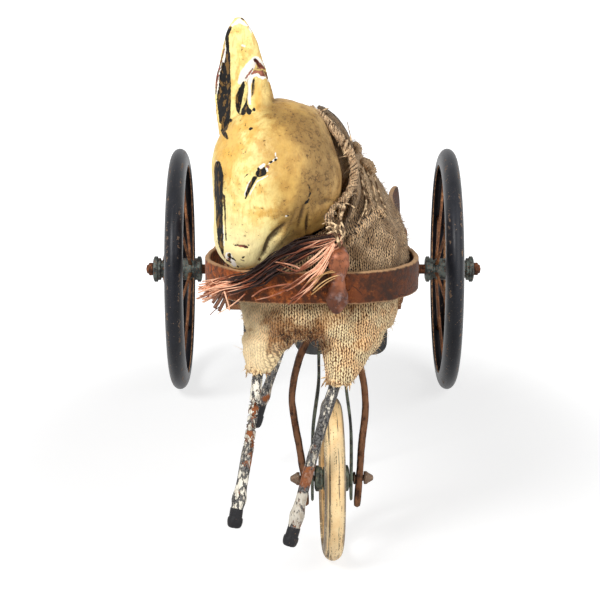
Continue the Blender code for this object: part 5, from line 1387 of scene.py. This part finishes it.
def collarPieces(values):
    cover, yarn = knitFinish("collarKnit", knit), yarnFinish("looseYarn", (96, 70, 46), (240, 208, 164))
    collarBand(values)
    collarEdge(values, cover, yarn)
    collarFlap()
    collarHems(cover)
    throatThreads(yarn)


collarPieces(collar)
print("collar ready")

# frayed sleeve ends, and brown fibres that hang where the legs part

cuffs = {"left": ((-26.8, -38.9, -12.6), 4.9), "right": ((9.0, -39.6, -18.4), 5.2), "rings": 4, "threads": 70,
         "fibres": 44}


def cuffPieces(values):
    random = np.random.default_rng(71)
    tan = yarnFinish("cuffYarn", (130, 92, 56), (250, 220, 172))
    t = np.linspace(0, 2 * math.pi, 160)
    s = np.linspace(0, 1, 8)[None, :, None]
    for side in ("left", "right"):
        middle, radius = values[side]
        middle = np.array(middle) + goatPlace
        rings = []
        for k in range(values["rings"]):
            loose = sway(random, 180, 21, "valid") * np.sin(t / 2)
            wide = radius + 0.35 * np.sin(t * 11 + k * 2) + loose * 1.4
            drop = 0.6 - k * 0.75 + 0.4 * np.sin(t * 6 + k) + loose
            rings.append(middle + np.stack((np.cos(t) * wide, np.sin(t) * wide, drop), -1))
        frameStrands(side + "CuffRoll", "knit", rings, 0.5, tan)
        count = values["threads"]
        turn = random.uniform(0, 2 * math.pi, count)
        out = np.stack((np.cos(turn), np.sin(turn), turn * 0), -1)
        root = middle + out * radius + (0, 0, 0.6)
        way = out * random.uniform(-0.3, 0.5, (count, 1)) + random.normal(0, 0.35, (count, 3)) + (0, 0, -1)
        curl = random.normal(0, 0.7, (count, 1, 3))
        threads = root[:, None] + way[:, None] * random.uniform(1.4, 3.4, (count, 1, 1)) * s + curl * s ** 2
        frameStrands(side + "CuffThreads", "knit", threads, [[0.36] * 6 + [0.26, 0.1]], tan, 5)
    brown, count = yarnFinish("brownFibre", (52, 30, 15), (128, 84, 46)), values["fibres"]
    roots = np.stack((random.uniform(272, 324, count), random.uniform(328, 341, count)), -1)
    start = onBody(roots, 0.3)
    tip = roots + random.normal(0, 1, (count, 2)) * (3.5, 2.5) + (0, 3.5)
    finish = placeSeen(tip[:, 0], tip[:, 1], start[:, 1] - 1.2)
    curl = random.normal(0, 1.6, (count, 1, 3))
    fibres = start[:, None] + (finish - start)[:, None] * s + curl * s * (1 - s)
    frameStrands("crotchFibres", "knit", fibres, [[0.3] * 5 + [0.26, 0.18, 0.06]], brown, 5)


cuffPieces(cuffs)
print("cuffs ready")

# raffia: strands tied at the throat that run under the chin and end cut

raffia = {"main": 62, "knot": 16, "wide": 0.95, "flat": 0.24}


def raffiaFinish(name, dark, middleTone, light):
    # paler towards the cut ends, and darkest under the chin by painted shade
    f = Finish(name)
    x = f.part(0)
    shade = f.attribute("shade") + f.rise(x, -0.036, -0.046) * 0.85
    # painted shade under the chin
    shade = shade - f.rise(abs(x + 0.019), 0.019, 0.008) * 0.64
    grain = f.noise(1.2, 3, 0.6, stretch=(0.4, 1, 1.6))
    f.colour = f.mix(f.rise(shade + grain * 0.5, 0.3, 0.9), dark, middleTone)
    f.over(f.rise(shade + grain * 0.7, 0.95, 1.4), light)
    return f.wear(roughness=0.5 + grain * 0.2, normal=f.bump(grain, 0.25), specular=0.3)


def strandsThrough(random, count, u, v, y, spreadU, spreadV, spreadY):
    # strands that follow one course of picture places, each with its own place across the bundle
    place = random.normal(0, 0.5, (count, 3)).clip(-1, 1)
    courses = []
    for own in place:
        wander = random.normal(0, 0.16, (3, len(u)))
        spread = (spreadU, spreadV, spreadY)
        course = [np.array(way) + spread[k] * (own[k] + wander[k]) for k, way in enumerate((u, v, y))]
        courses.append(smoothLine(placeSeen(*course), 26))
    return np.array(courses)


def raffiaBundle(values, random, finish):
    # the course keeps below the chin and in front of the band
    u = [336, 322, 300, 285, 272, 262, 248, 235, 222, 208]
    v = [238, 242, 249, 256.5, 265, 273, 280, 284, 286, 290]
    y = [-208, -209, -210, -210.5, -211, -211, -211, -210.5, -210, -209]
    spreadU = np.array([1.5, 2, 3, 3, 3, 3, 3, 4, 5, 9])
    spreadV = np.array([3, 6, 10, 11.5, 11, 9, 8, 8, 8, 9])
    spreadY = np.array([1.5, 2, 2, 2, 2, 2, 2, 2, 2.5, 3.5])
    count = values["main"]
    lines = strandsThrough(random, count, u, v, y, spreadU, spreadV, spreadY)
    radii = random.uniform(0.5, 1.9, (count, 1)) * np.linspace(0.75, 1.1, 26)[None] * values["wide"]
    shade = np.where(random.uniform(0, 1, count) < 0.45, random.uniform(0, 0.25, count),
                     random.uniform(0.5, 1.15, count))
    frameStrands("raffiaBundle", "raffia", lines, radii, finish, 8, values["flat"], shade, ["raffia_bundle"])


def raffiaFan(random, finish):
    # finer strands that spread below the bundle, and thin single ones
    fans = (([334, 326, 318, 311, 301, 288], [243, 258, 271, 278, 290, 305]),
            ([334, 327, 319, 312, 304, 293], [243, 259, 272, 283, 292, 302]),
            ([333, 325, 316, 306, 293, 282], [243, 257, 268, 275, 284, 289]),
            ([333, 325, 315, 306, 294, 279], [243, 257, 269, 278, 287, 293]),
            ([334, 327, 320, 312, 302, 290], [244, 260, 274, 284, 292, 299]),
            ([333, 326, 318, 308, 296, 286], [243, 258, 269, 276, 286, 292]),
            ([333, 324, 313, 302, 290, 277], [242, 254, 263, 270, 274, 270]),
            ([332, 322, 313, 303, 296, 280], [241, 250, 258, 266, 271, 264]))
    front = [-209, -211, -212, -212.5, -212.8, -213]
    more = [strandsThrough(random, 2, u, v, front, 1.6, 1.6, 0.6) for u, v in fans]
    thin = (([281, 270, 262, 255], [292, 296, 298, 300]), ([245, 236, 226, 218], [294, 302, 309, 313.5]),
            ([224, 226, 228, 229], [291, 298, 304, 310]), ([219, 216, 213, 211], [283, 284, 283, 281]),
            ([300, 294, 285, 274], [269, 266, 264, 262]), ([290, 276, 262, 252], [284, 286, 290, 297]))
    front = [-212, -212.5, -213, -213]
    more += [strandsThrough(random, 1, u, v, front, 0.5, 0.5, 0.3) for u, v in thin]
    more = np.concatenate(more)
    radii = np.linspace(0.62, 0.4, 26)[None] * random.uniform(0.7, 1.3, (len(more), 1))
    frameStrands("raffiaFan", "raffia", more, radii, finish, 6, 0.6, random.uniform(0.85, 1.4, len(more)))


def strawEnds(random):
    # straw that sticks out beside the hook
    straw = raffiaFinish("strawYellow", (96, 66, 34), (176, 132, 82), (226, 186, 130))
    front = [-212, -212.5, -213, -213]
    ways = (([340, 330, 320, 312], [274, 277, 283, 290]), ([337, 326, 316, 306], [272, 274, 278, 285]),
            ([338, 328, 320, 311], [276, 281, 287, 294]), ([336, 327, 320, 314], [271, 273, 279, 286]))
    lines = np.concatenate([strandsThrough(random, 1, u, v, front, 0.8, 0.8, 0.3) for u, v in ways])
    frameStrands("strawEnds", "raffia", lines, 0.42, straw, 6, 0.6, random.uniform(0.5, 1.2, len(lines)))


def raffiaKnot(count, random, finish):
    # the knot: strands wound round the throat end
    knotAt = placeSeen(334, 241, -208.25)
    t = np.linspace(0, 2 * math.pi, 30)[None]
    tilt = random.uniform(-0.8, 0.8, (count, 1))
    radius = random.uniform(1.9, 3.2, (count, 1))
    x, z = np.cos(t) * radius, np.sin(t) * radius * 1.1
    y = np.sin(t + tilt * 3) * 1.7 * np.sin(tilt + 0.6)
    knots = np.stack((x, y, z * np.cos(tilt) + x * np.sin(tilt) * 0.5), -1) + knotAt
    shade = random.uniform(0.1, 0.9, count)
    frameStrands("raffiaKnot", "raffia", knots, 0.7, finish, 7, 0.6, shade, ["raffia_knot"])


def cutSticks():
    # flat cut sticks below the bundle
    stick = raffiaFinish("stickBrown", (30, 18, 14), (74, 46, 36), (120, 84, 66))
    lines = [smoothLine(placeSeen(*course), 20) for course in (
        ([230, 224, 214.5], [284, 293, 308], [-209, -210, -211]),
        ([232, 226, 219], [286, 297, 311], [-208, -209, -210]),
        ([229, 221, 212.5], [283, 292, 303], [-210, -211, -212]),
        ([219, 214, 210], [307, 311, 315], [-211, -211.5, -212]))]
    radii = np.array([[1.7], [1.6], [1.4], [0.4]])
    frameStrands("cutSticks", "raffia", lines, radii, stick, 8, 0.5, np.array([0.3, 0.5, 0.1, 0.3]))


def raffiaPieces(values):
    random = np.random.default_rng(51)
    finish = raffiaFinish("raffiaBrown", (34, 16, 11), (150, 84, 56), (246, 192, 158))
    raffiaBundle(values, random, finish)
    raffiaFan(random, finish)
    strawEnds(random)
    raffiaKnot(values["knot"], random, finish)
    cutSticks()


raffiaPieces(raffia)
print("raffia ready")

# legs and hooves

legs = {"radius": 2.5, "hoof": 3.5, "hoofLength": 9.0,
        "leftFront": ((-24.8, -34.5, 5.5), (-38, -53, -84), 1.0, 1.2),
        "rightFront": ((16.1, -34.5, 5.5), (-13.5, -53, -92.7), 1.0, -1.2),
        "leftHind": ((-4, 114, 6), (-33, 114, -89.5), 1.5, 1.0),
        "rightHind": ((16, 114, 6), (6, 114, -94), 1.5, 0.5)}


def legFinish(name, bareness=0.0, rustAt=None, whiteAt=None):
    # white paint that has flaked off grey metal, with rust at the breaks; rustAt and whiteAt are heights in mm
    f = Finish(name)
    chips, fine = f.noise(2.7, 5, 0.62, stretch=(1.8, 1.8, 0.6)), f.noise(1.1, 4, 0.6)
    patch = f.noise(22, 3)
    z = f.part(2) * 1000
    level = chips * 0.85 + fine * 0.25 + patch * 0.15 + bareness
    if whiteAt:
        level = level - f.rise(abs(z - whiteAt), 9, 5) * 0.12
    bare = f.rise(level, 0.63, 0.645)
    rust = f.mix(fine, (92, 52, 30), (170, 100, 54))
    metal = f.mix(f.rise(fine, 0.4, 0.6), (44, 42, 42), (112, 110, 108))
    metal = f.mix(f.rise(f.noise(7, 4), 0.56, 0.64), metal, rust)
    f.colour = f.mix(f.rise(patch, 0.4, 0.6), (240, 234, 218), (190, 182, 168))
    f.over(f.rise(f.noise(1.6, 4, 0.6, stretch=(1.6, 1.6, 0.3)), 0.5, 0.62) * 0.5, (140, 120, 94))
    f.over(bare, metal)
    f.over(f.rise(abs(level - 0.635), 0.016, 0.004) * 0.7, (50, 36, 26))
    if rustAt:
        f.over(f.rise(abs(z - rustAt) + (chips - 0.5) * 14, 5.5, 3.5) * 0.9, rust)
    return f.wear(roughness=0.42 + bare * 0.2 + fine * 0.15, metallic=bare * 0.35, specular=0.35,
                  normal=f.bump(fine * 0.15 - bare * 0.7, 0.4))


def hoofFinish(name):
    f = Finish(name)
    fine, cloud = f.noise(0.9, 4, 0.6), f.noise(4, 4)
    f.colour = f.mix(cloud, (14, 14, 16), (38, 37, 40))
    f.over(f.rise(fine * 0.7 + cloud * 0.3, 0.6, 0.66) * 0.8, (140, 110, 84))
    return f.wear(roughness=0.4 + fine * 0.3, specular=0.25, normal=f.bump(fine, 0.25))


def legPieces(values):
    worn, black = (legFinish("legPaint", 0.03), legFinish("legWorn", 0.055, 56, 42)), hoofFinish("hoofBlack")
    t = np.linspace(0, 1, 70)
    angle = np.linspace(0, 2 * math.pi, 48, endpoint=False)
    for seed, (key, node) in enumerate((("leftFront", "left_front"), ("rightFront", "right_front"),
                                        ("leftHind", "left_hind"), ("rightHind", "right_hind"))):
        top, bottom, longer, bend = values[key]
        top, bottom = np.array(top) + goatPlace, np.array(bottom) + goatPlace
        along = unit(top - bottom)
        length = values["hoofLength"] * longer
        start = bottom + along * (length - 4)
        random = np.random.default_rng(60 + seed)
        line = start + (top - start) * t[:, None]
        line[:, 0] += (bend + sway(random, 90, 21, "valid") * 0.8) * np.sin(t * math.pi)
        flare = 0.3 * np.exp(-((t - 0.095) / 0.035) ** 2)
        radii = values["radius"] * (1 + 0.05 * np.sin(t * 9 + seed) + 0.03 * np.sin(t * 23) + flare)
        frameStrands(key + "Leg", "leg_paint", [line], radii[None], worn[seed % 2], 28, nodes=[node + "_leg"])
        # the hoof: a block with a cleft in front, under a narrower collar
        side = unit(np.cross(along, (0, 1, 0)))
        fore = np.cross(side, along)
        rows = between([(0, 0.2), (0.1, 0.6), (0.5, 0.8), (1.3, 0.92), (2.4, 0.98), (length * 0.35, 1),
                        (length * 0.5, 0.96), (length * 0.54, 0.86), (length * 0.9, 0.84), (length, 0.8),
                        (length + 0.1, 0.72)], 44)
        cleft = 0.22 * np.exp(-((angle[None] - math.pi * 1.5) / 0.2) ** 2)
        split = 1 - cleft * np.clip(1 - rows[:, :1] / (length * 0.5), 0, 1)
        radius = rows[:, 1:2] * values["hoof"] * split
        around = np.cos(angle)[:, None] * side + np.sin(angle)[:, None] * fore
        grid = bottom + rows[:, :1, None] * along + radius[..., None] * around
        put(skin(key + "Hoof", grid * mm, black), "frame", "hoof_paint", node + "_hoof")


legPieces(legs)
print("legs ready")

# the tin cart behind

cart = {"half": 36, "front": -10.55, "back": 163.25, "sideTop": 108, "backTop": 124, "roll": 1.5}
apron = {"half": 39.2, "notch": 70, "bottom": 61, "shoulder": 79, "top": 100}


def tinFinish(name):
    f = Finish(name)
    cloud, fine = f.noise(14, 5, 0.6), f.noise(1.4, 4, 0.6)
    f.colour = f.mix(f.rise(cloud, 0.38, 0.62), (48, 50, 51), (84, 84, 82))
    f.over(f.rise(f.noise(3, 5, 0.65, stretch=(0.5, 1, 2.2)), 0.6, 0.66) * 0.6, (132, 122, 108))
    f.over(f.rise(cloud * 0.5 + fine * 0.5, 0.565, 0.62) * 0.8, (116, 68, 42))
    return f.wear(roughness=0.4 + fine * 0.35, metallic=0.35, normal=f.bump(cloud * 0.6 + fine * 0.3, 0.6))


def woodFinish(name):
    f = Finish(name)
    grain = f.noise(3.2, 4, 0.6, stretch=(0.12, 1, 1))
    ring = abs((grain * 9).calc("FRACT") - 0.5) * 2
    f.colour = f.mix(ring, (110, 74, 46), (164, 120, 80))
    f.over(f.rise(f.noise(12, 4), 0.52, 0.66) * 0.7, (70, 48, 34))
    return f.wear(roughness=0.6 + grain * 0.2, normal=f.bump(ring * 0.5 + grain, 0.3))


def prism(name, node, slot, outline, along, material, bevel=0.35):
    # a flat outline in mm carried through its node's depth along one axis, with its edges softened
    rows = [np.insert(np.asarray(outline, float), along, corner[along], axis=1) for corner in boxInMm(node)]
    piece = skin(name, np.array(rows) * mm, material, smooth=False)
    change = piece.modifiers.new("soft", "BEVEL")
    change.width, change.segments, change.limit_method = bevel * mm, 2, "ANGLE"
    put(piece, "frame", slot, node)


def cartPieces(values):
    tin, wood = tinFinish("cartTin"), woodFinish("seatWood")
    half, shoulder = apron["half"], apron["shoulder"]
    outline = [(-half, shoulder)]
    angle = np.linspace(0, math.pi, 17)
    for a, b in ((-half, -half * 0.63), (-half * 0.29, half * 0.27), (half * 0.6, half)):
        drop = (apron["notch"] - apron["bottom"]) * np.sin(angle) ** 0.7
        outline += zip((a + b) / 2 - (b - a) / 2 * np.cos(angle), apron["notch"] - drop)
    tab = values["half"] - 2
    outline += [(half, shoulder), (tab, shoulder + 1), (tab, apron["top"]), (-tab, apron["top"]),
                (-tab, shoulder + 1)]
    prism("cartApron", "cart_apron", "cart_tin", outline, 1, tin)
    for node, name in (("cart_floor", "cartFloor"), ("cart_left_side", "cartLeftSide"),
                       ("cart_right_side", "cartRightSide")):
        low, high = boxInMm(node)
        outline = [(low[0], low[1]), (high[0], low[1]), (high[0], high[1]), (low[0], high[1])]
        prism(name, node, "cart_tin", outline, 2, tin)
    low, high = boxInMm("cart_back")
    angle = np.linspace(0, math.pi, 25)[1:-1]
    half, side = values["half"], values["sideTop"]
    arch = zip(half * np.cos(angle), side + (high[2] - side) * np.sin(angle))
    outline = [(-half, low[2]), (half, low[2]), (half, side), *arch, (-half, side)]
    prism("cartBack", "cart_back", "cart_tin", outline, 1, tin)
    (_, front, under), (_, back, over) = boxInMm("cart_seat")
    top, lip = over - 3, front + 3.6
    seat = [(front, over), (back, over), (back, top), (lip, top), (lip, under), (front, under)]
    prism("cartSeat", "cart_seat", "wood", seat, 0, wood, 0.7)
    # rolled edges along the tops
    along = np.linspace(values["front"] + 1, values["back"] - 1, 40)
    for sign, name in ((-1, "left"), (1, "right")):
        line = [(sign * (half - 0.6), y, side) for y in along]
        frameStrands(name + "CartRoll", "cart_tin", [line], values["roll"], tin, 16)
    angle = np.linspace(0, math.pi, 50)
    arch = np.stack(((half - 0.5) * np.cos(angle), np.full(50, values["back"] + 0.9),
                     side + (values["backTop"] - side - 0.6) * np.sin(angle)), -1)
    frameStrands("backCartRoll", "cart_tin", [arch], values["roll"], tin, 16)
    for node in ("left_axle_bracket", "right_axle_bracket"):
        dress(node, darkIron)
    for node in ("body_core", "neck_ball"):
        dress(node, wood)


def dress(node, material):
    # a CAD node keeps its mesh and takes a better finish
    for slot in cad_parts[node].material_slots:
        slot.material = material


cartPieces(cart)
print("cart ready")
